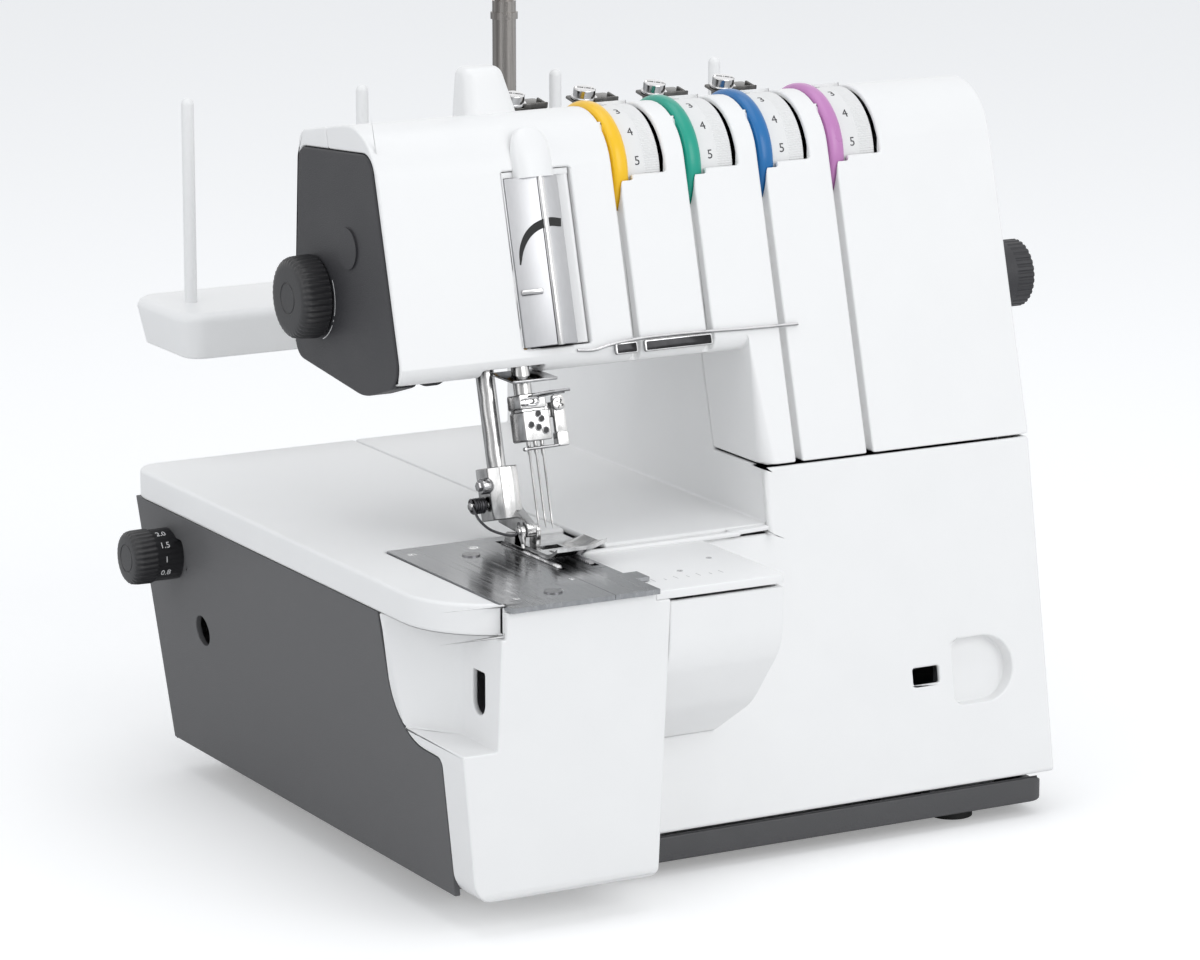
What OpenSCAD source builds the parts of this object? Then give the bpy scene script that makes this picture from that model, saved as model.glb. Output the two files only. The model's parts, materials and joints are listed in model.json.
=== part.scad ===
// Serger-family cover stitch machine: three needles, one looper, four thread tensions.
// X runs to the right along the arm, Y to the back, Z up. Millimetres.
// The origin lies on the table, under the middle of the whole machine.

/* [Body] */
// Height of the crest of the arm above the table
body_h = 297; // [292:1:305]
// Width from the left end of the bed to the right side of the tower
body_w = 305; // [298:1:315]
// Depth from the front edge of the tray to the back
body_d = 243; // [238:1:252]
// Width of the tower
tower_w = 126; // [122:1:130]
// Height of the bed's top above the table
bed_h = 133; // [131:1:135]
// Clear height between the bed and the arm
throat_h = 67; // [65:1:69]
// Depth of the arm at its lower back edge, from the tray's front edge
arm_d = 132; // [128:1:138]
// Wall of the outer covers
wall = 2.5; // [2:0.1:3]
// Slope of the lower front, in degrees from upright
lean_low = 9.9; // [9:0.1:10.5]
// Slope of the upper front, in degrees from upright
lean_up = 15.1; // [14.5:0.1:15.6]
// Radius of the crest between the front and the top
crest_r = 26; // [24:1:28]
// Fall of the top towards the back, in degrees
top_fall = 10; // [8:0.5:12]
// Height of the seam above the front cover
seam_z = 155.5; // [152:0.5:158]
// Depth of the front shell behind the front
front_shell_d = 41; // [36:1:46]
// Height of the rubber feet
foot_h = 6; // [4:0.5:8]
// Height of the tray
tray_h = 11; // [9:0.5:13]

/* [Bed] */
// How far the head's left side stands in from the bed's left end
head_inset = 24; // [20:1:28]
// How far the bed and its front cover stand out in front of the tray
bed_front = 49; // [46:1:52]
// Height of the white band along the bed's top edge
band_h = 13; // [10:1:16]
// Radius of the bed's front left corner
bed_corner_r = 38; // [30:1:42]
// Inward slope of the bed's left side, in degrees
side_lean = 7.3; // [5:0.1:9]
// Width of the needle plate
plate_w = 44; // [42:1:46]
// Width of the small slide plate beside the needle plate
slide_w = 19.5; // [17:0.5:22]
// Depth of the needle plate, front to back
plate_d = 105; // [100:1:110]
// Thickness of the needle plate
plate_t = 2; // [1.5:0.1:2.4]
// Width of the ruler table on the right of the plates
table_w = 58; // [54:1:60]
// Depth of the ruler table
table_d = 68; // [64:1:72]
// Step down from the throat floor to the ruler table
table_drop = 2; // [1:0.5:3]

/* [Front cover] */
// Travel of the front cover to the right, before it can be folded down
cover_slide = 5; // [4:0.5:6]
// Diameter of the front cover's hinge rod
cover_rod_d = 5; // [4:0.5:6]
// Depth of the front cover's right side
cover_side_d = 20; // [16:1:22]
// Width of the thumb recess
thumb_w = 25; // [22:1:28]

/* [Tension dials] */
// Distance from one tension dial to the next
dial_pitch = 33.4; // [32.8:0.1:34]
// Radius of the numbered dials
dial_r = 25.5; // [24.5:0.1:25.9]
// Width of the numbered dials
dial_w = 14.8; // [13:0.1:15]
// Radius of the coloured rings
ring_r = 28; // [27:0.1:28.2]
// Width of the coloured rings
ring_w = 7.6; // [6:0.1:8]
// Width of the thread channels
channel_w = 3; // [2.5:0.1:3.4]
// Depth of the thread channels
channel_d = 6; // [5:0.5:7]
// Distance from one pretension guide to the next
guide_pitch = 32.4; // [32.2:0.1:33.4]
// Diameter of the tension studs
stud_d = 5; // [4:0.5:6]

/* [Needles and foot] */
// Diameter of the needle bar
needle_bar_d = 7.2; // [6.6:0.1:7.4]
// Sideways distance between neighbouring needles
needle_pitch = 3; // [2.5:0.1:3.2]
// Free length of the needles below the clamp
needle_l = 34.8; // [33:0.2:36]
// Height of the needle points over the bed at rest
needle_lift = 9; // [8:0.5:10]
// Diameter of the presser bar
presser_bar_d = 7.5; // [6.5:0.1:8]
// Height of the feed teeth over the needle plate
tooth_h = 0.8; // [0.5:0.1:1]
// Width of the presser foot
foot_w = 18.8; // [17:0.2:22]
// Length of the presser foot
foot_l = 41; // [39:1:43]

/* [Drive] */
// Diameter of the main shaft and the arm shaft
shaft_d = 10; // [9:0.5:11]
// Radius of the handwheel
handwheel_r = 33; // [30:1:35]
// Radius of the large belt pulley on the main shaft
shaft_pulley_r = 30; // [27:1:31]
// Radius of the small belt pulley on the motor
motor_pulley_r = 6; // [5:0.5:7]
// Radius of the two timing pulleys
timing_r = 14; // [12:0.5:15]
// Thickness of the belts
belt_t = 1.6; // [1.2:0.1:2]
// Diameter of the motor
motor_d = 62; // [56:1:66]
// Length of the motor
motor_l = 70; // [64:1:72]

/* [Side dials] */
// Radius of the pressure dial on the head
pressure_r = 16.8; // [15:0.1:18]
// Radius of the feed dial on the bed
feed_dial_r = 11.5; // [10:0.5:13]
// Radius of the stitch length dial on the right
length_dial_r = 14; // [12:0.5:15]

/* [Spool stand] */
// Width of the spool stand
stand_w = 337; // [330:1:342]
// Depth of the spool stand
stand_d = 60; // [56:1:66]
// Height of the spool stand's top above the table
stand_z = 193; // [188:1:198]
// Thickness of the spool stand
stand_t = 20; // [16:1:22]
// Height of the spool pins above the stand
pin_h = 88; // [80:1:95]
// Diameter of the spool pins
pin_d = 5.4; // [5:0.1:6]
// Outer diameter of the mast's lower tube
mast_d = 10.4; // [9.8:0.1:11.2]
// Height of the lower tube above the stand
mast_low_h = 120; // [110:1:130]
// Height of the thread guide bar above the table with the mast drawn out
guide_z = 556; // [540:1:570]
// Length of the thread guide bar
guide_w = 262; // [250:1:275]
// Distance from one eyelet of the guide bar to the next
eyelet_pitch = 80; // [70:1:82]

/* [Clearances] */
// Seam between two covers
seam = 0.6; // [0.4:0.1:1]
// Gap around the front cover's top edge
cover_gap = 1; // [0.8:0.1:1.4]
// Radial running clearance of shafts and bars
run = 0.05; // [0.02:0.01:0.09]
// Gap between moving pieces and what they pass
gap = 0.5; // [0.4:0.1:0.8]

/* [Hidden] */
$fn = 72;
eps = 0.01;

// Fixed references: the tray's front edge and the tower's right side.
front_y = -128;
tower_right = 131;

// The stations that follow from the driving sizes.
tower_left = tower_right - tower_w;
bed_left = tower_right - body_w;
head_left = bed_left + head_inset;
back_y = front_y + body_d + 1;
arm_z = bed_h + throat_h;
tray_top = foot_h + tray_h;
block_y = front_y + 1 - bed_front;
skirt_z = foot_h + 8;
bed_seam_x = head_left + 80.5;

// Sloping front of the body: lower and upper plane, and the crest.
function face_low(z) = front_y + (z - tray_top) * tan(lean_low);
seam_y = face_low(seam_z);
function face_up(z) = seam_y + (z - seam_z) * tan(lean_up);
crest_z = body_h - crest_r;
crest_y = face_up(crest_z) + crest_r / cos(lean_up);
function top_z(y) = crest_z + crest_r / cos(top_fall) - (y - crest_y) * tan(top_fall);
corner_y = (seam_y + (top_z(0) - seam_z) * tan(lean_up)) / (1 + tan(top_fall) * tan(lean_up));

// Left side of the bed, which slopes inward below the white band.
band_z = bed_h - band_h;
function side_x(z) = bed_left + 1.5 + (band_z - z) * tan(side_lean);

// Front of the bed's front cover, and the right end of it.
block_top = bed_h - plate_t - gap;
block_right = tower_left - 84.4;
block_lean = 4.5;
function block_face(z) = block_y + (block_top - z) * tan(block_lean);

// Outlines of the arm, the tower and the head's side panel in Y and Z.
arm_back = front_y + 1 + arm_d;
arm_c = [[face_up(arm_z), arm_z, 8], [arm_back, arm_z, 6],
         [arm_back - 6, top_z(arm_back - 6), 8], [corner_y, top_z(corner_y), crest_r]];
tower_c = [[face_low(tray_top), tray_top, 0], [back_y, tray_top, 0], [back_y, 215, 30],
           [40, top_z(40), 30], [corner_y, top_z(corner_y), crest_r], [seam_y, seam_z, 0]];
// The arm takes its front and top from the tower's outline; these are its other edges.
edge_out = 0.4;
arm_edges_c = [[face_up(arm_z) - edge_out, arm_z, 8], [arm_back, arm_z, 6],
               [arm_back - 6, top_z(arm_back - 6) + edge_out, 8],
               [corner_y - edge_out, top_z(corner_y) + edge_out, 0]];
head_panel_c = [[face_up(arm_z) + 2.6, arm_z + 1, 10], [face_up(arm_z) + 34, arm_z - 8.5, 30],
                [arm_back - 1, arm_z - 2, 8], [arm_back - 6.5, body_h - 14, 6],
                [face_up(body_h - 9) + 3, body_h - 9, 9]];

// Table on the right of the needle plates.
plate_x0 = head_left + 0.5;
plate_x1 = plate_x0 + plate_w + slide_w;
plate_y0 = block_y - 3;
plate_y1 = plate_y0 + plate_d;
table_x1 = plate_x1 + table_w;
table_y0 = block_y + 1;
table_y1 = table_y0 + table_d;
table_z = bed_h - table_drop;
table_t = 3.5;

// Front cover: bulge under the table, hinge axis and edges.
bulge_x0 = block_right + seam;
bulge_x1 = table_x1;
bulge_top = table_z - table_t - cover_gap - 0.5;
cover_z0 = tray_top + 1;
cover_hinge_z = tray_top + 10.5;
cover_hinge_y = face_low(cover_hinge_z) + wall + 7;
bulge_c = [[face_low(55) + 0.5, 55, 12], [face_low(55) + 14, 55, 0], [face_low(bulge_top) + 2, bulge_top, 0],
           [table_y0 + 1, bulge_top, 0], [table_y0 + 1.5, bulge_top - 24, 26],
           [table_y0 + 24, 74, 40]];

// Tension dials.
channel_x0 = tower_left - 50.5;
dial_y = crest_y + 1.6;
dial_z = crest_z - 0.3;
sill_z = crest_z + 1.5;
ring_x = -0.8;
dial_x = ring_x + ring_w;
stud_x = -9.4;

// Needle bar and presser bar: X, depth behind the front.
needle_x = head_left + 54.5;
needle_depth = 1.7;
bar_depth = 6.5;
presser_x = needle_x - 10;
presser_depth = 17.5;
function face_s(z, depth) = (z - seam_z + depth * sin(lean_up)) / cos(lean_up);
point_s = face_s(bed_h + needle_lift, needle_depth);
clamp_s = point_s + needle_l;
clamp_h = 18.6;
bush_s = [face_s(arm_z + 5, bar_depth), face_s(arm_z + 27.2, bar_depth)];
bar_top_s = bush_s[1] + 34;
bush_l = 12;
bush_front = bar_depth - needle_bar_d / 2 - 1.4;

// Presser foot.
sole_z = bed_h + tooth_h + 0.4;
foot_hinge_y = face_up(sole_z) + 9;
foot_hinge_z = sole_z + 7;
needle_y = face_up(bed_h) + needle_depth / cos(lean_up);

// Drive.
main_y = -52;
main_z = 107;
arm_shaft_y = -42;
arm_shaft_z = arm_z + 28;
timing_x = tower_left + 80;
belt_x = tower_left + 96;
motor_y = 42;
motor_z = 62;
belt_w = 8;
handwheel_x = tower_right + 3;

// Spool stand and mast.
stand_x = 22.6;
stand_y = back_y + 4 + stand_d / 2;
pin_x = [-129.6, -47, 48, 129.1];
pin_stem_d = pin_d - 1.4;
mast_in_d = mast_d - 2;
eyelet_x = [for (k = [-1.5:1:1.5]) stand_x + k * eyelet_pitch];
rod_d = mast_in_d - 2 * run;
// The bar lies behind the pins, so that a spool passes it.
guide_y = stand_y + pin_d / 2 + 14;

// Plane geometry for outlines whose corners are [x, y, radius].
function flat(p) = [p[0], p[1]];
function unit(v) = v / norm(v);
function cross2(a, b) = a[0] * b[1] - a[1] * b[0];
function left_of(v) = [-v[1], v[0]];
function turned(v, a) = [v[0] * cos(a) - v[1] * sin(a), v[0] * sin(a) + v[1] * cos(a)];
function prior(c, i) = flat(c[(i + len(c) - 1) % len(c)]);
function next(c, i) = flat(c[(i + 1) % len(c)]);

// Points of one rounded corner: an arc of radius r tangent to both sides.
function corner_arc(p, a, b, r, n) =
    let (half = acos(a * b) / 2,
         centre = p + unit(a + b) * r / sin(half),
         start = p + a * r / tan(half) - centre,
         end = p + b * r / tan(half) - centre,
         turn = atan2(cross2(start, end), start * end))
    [for (k = [0:n]) centre + turned(start, turn * k / n)];

// A closed outline with every corner rounded by its own radius.
function rounded(c, n = 10) =
    [for (i = [0:len(c) - 1])
        let (p = flat(c[i]), a = unit(prior(c, i) - p), b = unit(next(c, i) - p))
        each (c[i][2] <= 0 ? [p] : corner_arc(p, a, b, c[i][2], n))];

// The same outline moved inward by w. Corners run counter-clockwise.
function inset(c, w) =
    [for (i = [0:len(c) - 1])
        let (p = flat(c[i]), u = unit(p - prior(c, i)), v = unit(next(c, i) - p),
             a = p + left_of(u) * w, b = p + left_of(v) * w,
             q = a + u * cross2(b - a, v) / cross2(u, v))
        [q[0], q[1], max(c[i][2] - w, 0)]];

// Outline given in Y and Z, drawn out along X.
module along_x(x0, x1, c) {
    translate([x0, 0, 0]) rotate([90, 0, 90]) linear_extrude(x1 - x0) polygon(rounded(c));
}

// Outline given in X and Z, drawn out along Y.
module along_y(y0, y1, c) {
    translate([0, y1, 0]) rotate([90, 0, 0]) linear_extrude(y1 - y0) polygon(rounded(c));
}

// Outline given in X and Y, drawn out along Z.
module along_z(z0, z1, c) {
    translate([0, 0, z0]) linear_extrude(z1 - z0) polygon(rounded(c));
}

// Box between two opposite corners.
module box(a, b) {
    translate(a) cube(b - a);
}

// Round bar along X, Y or Z from p, with radius r and length l.
module rod_x(p, r, l) {
    translate(p) rotate([0, 90, 0]) cylinder(r = r, h = l);
}
module rod_y(p, r, l) {
    translate(p) rotate([-90, 0, 0]) cylinder(r = r, h = l);
}
module rod_z(p, r, l) {
    translate(p) cylinder(r = r, h = l);
}

// Frame on the upper front: X, depth behind the front, distance up the slope from the seam.
module on_face() {
    translate([0, seam_y, seam_z]) rotate([-lean_up, 0, 0]) children();
}

// Solid between the outline c and itself, shrunk by the wall.
module arm_slice(x0, x1, w) {
    intersection() {
        along_x(x0, x1, inset(tower_c, w));
        along_x(x0 - 1, x1 + 1, inset(arm_edges_c, w));
    }
}
module arm_solid(w) {
    arm_slice(head_left, tower_left + wall + 4, w);
}
module tower_solid(w) {
    along_x(tower_left + w, tower_right - w, inset(tower_c, w));
}

// Zone in front of the parting plane and above the seam; w moves it back.
module front_zone(w, z0) {
    along_x(head_left - 20, tower_right + 20,
        [[-400, z0, 0], [face_up(z0) + w, z0, 0], [face_up(400) + w, 400, 0], [-400, 400, 0]]);
}

// Place a copy at each thread channel.
module each_channel() {
    for (i = [0:3]) translate([channel_x0 + i * dial_pitch, 0, 0]) children();
}

// Cutter for one dial's slot, with the sill in front and a stop at the back.
module dial_slot() {
    intersection() {
        rod_x([ring_x - gap, dial_y, dial_z], ring_r + gap, ring_w + dial_w + 2 * gap + 0.8);
        box([ring_x - 2, dial_y - 60, sill_z], [40, dial_y + 6, body_h + 20]);
    }
    // The ring dips below the sill inside its channel.
    rod_x([ring_x - gap, dial_y, dial_z], ring_r + gap, ring_w + 2 * gap);
    // Room for the dial behind the wall.
    rod_x([ring_x - gap, dial_y, dial_z], dial_r + gap, ring_w + dial_w + 2 * gap + 0.8);
}

// Cutter for the thread channels; the last two run down to the seam.
module channels() {
    for (i = [0:3])
        on_face() translate([channel_x0 + i * dial_pitch - channel_w / 2, 0, 0])
            box([0, -20, i < 2 ? 20 : -5], [channel_w, channel_d, 160]);
}

module front_shell() {
    color("white") difference() {
        intersection() {
            union() {
                difference() {
                    union() {
                        arm_solid(0);
                        tower_solid(0);
                    }
                    arm_solid(wall);
                    tower_solid(wall);
                    box([head_left - 1, -200, 0], [head_left + wall, 200, 400]);
                }
                channel_backs();
                recess_walls();
                head_rim();
            }
            front_zone(front_shell_d, seam_z + cover_gap / 2);
        }
        channels();
        each_channel() dial_slot();
        // Recess over the needle bar, open at its lower end.
        recess_cut();
        // Relief over the needle bar's bushes.
        for (s = bush_s) on_face()
            box([needle_x - 6.4, bush_front - gap, s - gap], [needle_x + 7, wall + 1, s + bush_l + gap]);
        rod_x([tower_right - 10, length_y, length_z], 5, 20);
        // Opening for the two bars under the head.
        bar_opening();
    }
}

// Backs of the thread channels, inside the shell.
module channel_backs() {
    intersection() {
        for (i = [0:3])
            on_face() translate([channel_x0 + i * dial_pitch - channel_w / 2 - wall, 0, 0])
                box([0, 0, i < 2 ? 20 - wall : 0], [channel_w + 2 * wall, channel_d + wall, 140]);
        union() {
            arm_solid(0);
            tower_solid(0);
        }
    }
}

// Right and top walls of the recess in the head.
recess_x0 = needle_x - 0.8;
recess_x1 = recess_x0 + 30.5;
recess_d = 9;
recess_s0 = face_s(arm_z + 10.5, 0);
recess_s1 = 127;
module recess_walls() {
    on_face() difference() {
        box([recess_x0, 1, recess_s0 - wall], [recess_x1 + wall, recess_d, recess_s1 + wall]);
        box([recess_x0 - 1, 0, recess_s0 - 10], [recess_x1, recess_d + 1, recess_s1]);
    }
}
module recess_cut() {
    on_face() box([recess_x0, -20, recess_s0], [recess_x1, recess_d + 1, recess_s1]);
}

// Opening through the arm's underside for the needle bar and the presser bar.
module bar_opening() {
    on_face() box([presser_x - 8, wall, face_s(arm_z - 6, 0)], [needle_x + 9, presser_depth + 8, face_s(arm_z + 5, 20)]);
}

// White rim around the head's grey side panel.
module head_rim() {
    difference() {
        arm_slice(head_left, head_left + wall, 0);
        along_x(head_left - 1, head_left + wall + 1, inset(head_panel_c, -0.3));
    }
}

module cover_zone(x0, w) {
    z1 = seam_z - cover_gap / 2 + eps;
    along_x(x0, tower_right + 20,
        [[-400, 0, 0], [face_low(0) + w, 0, 0], [face_low(z1) + w, z1, 0], [-400, z1, 0]]);
}
module rear_shell() {
    color("white") {
        difference() {
            union() {
                difference() {
                    union() {
                        arm_solid(0);
                        tower_solid(0);
                    }
                    arm_solid(wall);
                    tower_solid(wall);
                    box([head_left - 1, -200, 0], [head_left + wall, 200, 400]);
                    // The tower opens into the bed below the throat floor.
                    box([tower_left - 1, front_y, 0], [tower_left + wall + 1, back_y - wall, bed_h - wall]);
                }
                head_rim();
                throat_floor();
            }
            front_zone(front_shell_d + seam, seam_z - cover_gap / 2);
            // The front cover closes the front below the seam, and its side wall the right side.
            cover_zone(head_left - 20, wall + gap);
            cover_zone(tower_left + wall + gap, cover_side_d + cover_gap);
            // Open underside.
            box([tower_left + wall, front_y, 0], [tower_right - wall, back_y - wall, tray_top + wall + 1]);
            // Handwheel shaft, stitch length dial, lamp and sockets.
            rod_x([tower_right - 10, main_y, main_z], shaft_d / 2 + 3, 20);
            rod_y([lever_x, -1, lever_z], 4 + gap, 20);
            each_channel() rod_x([ring_x - gap, dial_y, dial_z], ring_r + gap, ring_w + 2 * gap);
            switch_cut();
            inlet_cut();
            lamp_cut();
        }
    }
}

// Floor of the throat with the back wall below it.
module throat_floor() {
    floor_y0 = table_y1 + seam;
    box([bed_seam_x + seam, floor_y0, bed_h - wall], [tower_left + wall, back_y, bed_h]);
    box([bed_seam_x + seam, back_y - wall, tray_top], [tower_left + wall, back_y, bed_h]);
}

module head_side_panel() {
    color("#3a3b3e") difference() {
        along_x(head_left - 0.5, head_left + 10, head_panel_c);
        along_x(head_left + wall, head_left + 11, inset(head_panel_c, wall));
        // Behind the rim the panel keeps clear of the white shells.
        difference() {
            box([head_left + wall - 0.3, -200, arm_z - 0.3], [head_left + 11, 100, 330]);
            along_x(head_left, head_left + 12, inset(arm_c, wall + 0.4));
        }
        rod_x([head_left - 5, pressure_y, pressure_z], 4.2, 30);
        rod_x([head_left - 5, plug_y, plug_z], plug_r - 2, 30);
    }
}

// Pressure dial and plug on the head's side.
pressure_y = front_y + 112;
pressure_z = arm_z + 25;
plug_y = front_y + 82.5;
plug_z = body_h - 48.5;
plug_r = 8.2;
module head_plug() {
    color("#2c2d30") {
        rod_x([head_left - 1.3, plug_y, plug_z], plug_r, 0.8);
        difference() {
            rod_x([head_left - 0.5, plug_y, plug_z], plug_r - 2, 6);
            rod_x([head_left + 1, plug_y, plug_z], plug_r - 3.5, 6);
        }
    }
}

module pressure_dial() {
    color("#2c2d30") difference() {
        union() {
            rod_x([head_left - 0.5 - gap - 2, pressure_y, pressure_z], pressure_r + 1.7, 2);
            rod_x([head_left - 13, pressure_y, pressure_z], pressure_r, 10.5);
            rod_x([head_left - 3, pressure_y, pressure_z], 4, 18);
        }
        // Grip grooves.
        for (k = [0:35])
            translate([head_left - 14, pressure_y, pressure_z]) rotate([k * 10, 0, 0])
                rod_x([0, 0, pressure_r + 0.2], 0.7, 8);
        rod_x([head_left - 14, pressure_y, pressure_z], pressure_r - 6, 1.6);
    }
}

// Silver cover in front of the needle bar: a ridged sheet with a thread slot.
cover_x0 = recess_x0 + 0.8;
cover_x1 = cover_x0 + 22;
cover_t = 1;
ridge_x = cover_x0 + 12;
ridge_w = 3;
ridge_d = -5;
slot_s = (recess_s0 + recess_s1) / 2 + 6;
cover_plan = [[cover_x0, recess_d, 0], [cover_x0, 0.2, 0], [ridge_x, ridge_d, 0.6],
              [ridge_x + ridge_w, ridge_d, 0.6], [cover_x1, -2, 0], [cover_x1, recess_d, 0]];
module take_up_cover() {
    s0 = recess_s0 + gap;
    s1 = recess_s1 - 3;
    color("silver") on_face() difference() {
        union() {
            translate([0, 0, s0]) linear_extrude(s1 - s0) polygon(rounded(cover_plan));
            box([cover_x1 - 2, recess_d, s0], [recess_x1 - 0.3, recess_d + 1.2, recess_s1 - 1]);
        }
        translate([0, 0, s0 - 1])
            linear_extrude(s1 - s0) polygon([[cover_x0 - 1, recess_d + 2],
                [cover_x0 - 1, 0.8 + cover_t], [ridge_x + 0.4, ridge_d + cover_t],
                [ridge_x + ridge_w - 0.3, ridge_d + cover_t],
                [cover_x1 - cover_t, cover_t - 2.3], [cover_x1 - cover_t, recess_d + 2]]);
        // Curved slot that the needle threads pass through.
        translate([cover_x1, 0, slot_s]) rotate([90, 0, 0]) translate([0, 0, -1.5]) difference() {
            translate([0, -14, 0]) cylinder(r = 21, h = 20);
            translate([1, -16, -1]) cylinder(r = 20, h = 22);
            translate([-40, -80, -1]) cube([80, 72.5, 22]);
        }
    }
    // Peg on the left facet.
    color("silver") on_face() translate([cover_x0 + 0.6, -0.9, slot_s - 19]) rotate([0, 0, -23.4])
        rotate([0, 90, 0]) cylinder(r = 1.3, h = 8);
}

// Sheet metal thread guides: one under the head, three along the head's lower edge.
module thread_strips() {
    color("silver") {
        difference() {
            box([needle_x - 9, face_up(arm_z) - 4, arm_z - 1.2], [needle_x + 13, -70, arm_z]);
            on_face() translate([needle_x, bar_depth, 0]) rod_z([0, 0, 20], needle_bar_d / 2 + 1, 60);
            on_face() translate([presser_x, presser_depth, 0])
                rod_z([0, 0, 20], presser_bar_d / 2 + 1, 60);
        }
        on_face() {
            s = face_s(arm_z + 8, 0);
            box([channel_x0 - 12, -1.6, s - 2], [channel_x0 - 1, 0, s + 2]);
            box([channel_x0 + 3, -1.6, s - 2], [channel_x0 + dial_pitch, 0, s + 2]);
            box([channel_x0 + dial_pitch, -1, s - 0.6], [tower_left + 22, 0, s + 0.6]);
        }
    }
}

// Thread post on the crest: upright on its left, sloping on its right.
module top_post() {
    z0 = top_z(crest_y + 18);
    z1 = body_h + 18;
    color("white") difference() {
        translate([head_left + 66.5, crest_y + 9, 0]) intersection() {
            along_y(-9, 9, [[-13.5, crest_z, 0], [10, crest_z, 0], [10, z0, 0], [3.5, z1, 3], [-13.5, z1, 3]]);
            along_x(-20, 20, [[-9, crest_z, 0], [9, crest_z, 0], [9, z0, 0], [6, z1, 3], [-6, z1, 3],
                [-9, z0, 0]]);
        }
        arm_solid(0);
    }
}

// Small sheet guides on the falling top, each with a screw and a pressing disc.
module pretension_guides() {
    y = crest_y + 22.4;
    for (k = [0:3]) translate([channel_x0 - 17 + k * guide_pitch, y, top_z(y) + eps]) rotate([-top_fall, 0, 0]) {
        color("silver") box([-6, -2.5, 0], [5, 4.5, 2.6]);
        // The plate tilts toward the front.
        translate([0, 0, guide_rise]) rotate([guide_tilt, 0, 0]) guide_plate();
    }
}
guide_tilt = 20;
guide_rise = 5.5 * sin(guide_tilt);
module guide_plate() {
    union() {
        color("silver") difference() {
            union() {
                box([-9, -5.5, 0], [10, 5.5, 1]);
                box([-1, -5.5, 0], [10, -4.5, 2.6]);
            }
            rod_z([7.5, 1.5, -1], 1.4, 4);
        }
        color("#77736c") {
            rod_z([-3, 0, 1], 5.4, 1.2);
            difference() {
                rod_z([-3, 0, 2.2], 4.6, 3.6);
                box([-9, -0.6, 4.6], [3, 0.6, 7]);
            }
        }
    }
}

// White cover over the left of the bed, with a band down its sides.
module bed_cover() {
    plan = [[bed_left, block_y + 3, bed_corner_r], [plate_x0 - gap, block_y + 3, 0],
            [plate_x0 - gap, plate_y1 + gap, 0], [bed_seam_x, plate_y1 + gap, 0],
            [bed_seam_x, back_y, 0], [bed_left, back_y, 12]];
    color("white") difference() {
        along_z(band_z + seam, bed_h, plan);
        along_z(band_z, bed_h - wall, [[bed_left + wall, block_y + 3 + wall, bed_corner_r - wall],
            [plate_x0 + 10, block_y + 3 + wall, 0], [plate_x0 + 10, plate_y1 + 20, 0],
            [bed_seam_x + 10, plate_y1 + 20, 0], [bed_seam_x + 10, back_y - wall, 0],
            [bed_left + wall, back_y - wall, 10]]);
    }
}

// Outline of the grey panel on the bed's left side, in Y and Z.
pocket_y = block_y + 64;
side_c = [[block_y + 27, skirt_z, 0], [back_y - 6, skirt_z, 4], [back_y - 1, band_z, 0],
          [pocket_y, band_z, 0], [pocket_y - 3, 71, 24], [block_y + 24, 70, 3]];
module side_strip(w0, w1, z0, z1) {
    along_y(block_y - 20, back_y + 20, [[side_x(z0) + w0, z0, 0], [side_x(z0) + w1, z0, 0],
        [side_x(z1) + w1, z1, 0], [side_x(z1) + w0, z1, 0]]);
}
module bed_side_panel() {
    color("#5a5a5c") difference() {
        union() {
            intersection() {
                side_strip(0, wall, skirt_z, band_z);
                along_x(bed_left - 1, bed_left + 40, side_c);
            }
            // The panel runs on round the back, up to the seam.
            intersection() {
                side_strip(0, 140, skirt_z, band_z);
                along_x(bed_left - 1, bed_seam_x, [[back_y - 6 - wall, skirt_z, 0], [back_y - 6, skirt_z, 0],
                    [back_y - 1, band_z, 0], [back_y - 1 - wall, band_z, 0]]);
            }
        }
        rod_x([bed_left, feed_y, feed_z], 4.2, 30);
        rod_x([bed_left, hole_y, hole_z], 6.4, 30);
        translate([side_x(feed_z) - 1, feed_y, feed_z]) rotate([0, 90, 0]) cylinder(r = 14.5, h = 1.8);
    }
}

// White cover on the front left of the bed, with the grip pocket.
block_c = [[block_face(skirt_z), skirt_z, 6], [pocket_y + 2, skirt_z, 0],
           [pocket_y + 2, block_top, 0], [block_face(block_top), block_top, 0]];
pocket_x1 = plate_x0 - 2.5;
module block_solid(w) {
    intersection() {
        along_x(bed_left - 5 + w, block_right - w, w == 0 ? block_c : inset(block_c, w));
        along_y(block_y - 20, pocket_y + 10,
            [[side_x(skirt_z) + w, skirt_z + w, 12 - w], [block_right - w, skirt_z + w, 4],
             [block_right - w, block_top - w, 0], [side_x(block_top) + w, block_top - w, 0]]);
    }
}
module pocket_solid(w) {
    along_z(76 - w, band_z + 1, [[pocket_x1 + w, block_y - 30, 0], [pocket_x1 + w, block_y + 34 + w, 12],
        [side_x(100) - 3, pocket_y - 3 + w, 0], [side_x(100) - 40, pocket_y - 3 + w, 0],
        [side_x(100) - 40, block_y - 30, 0]]);
}
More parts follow.
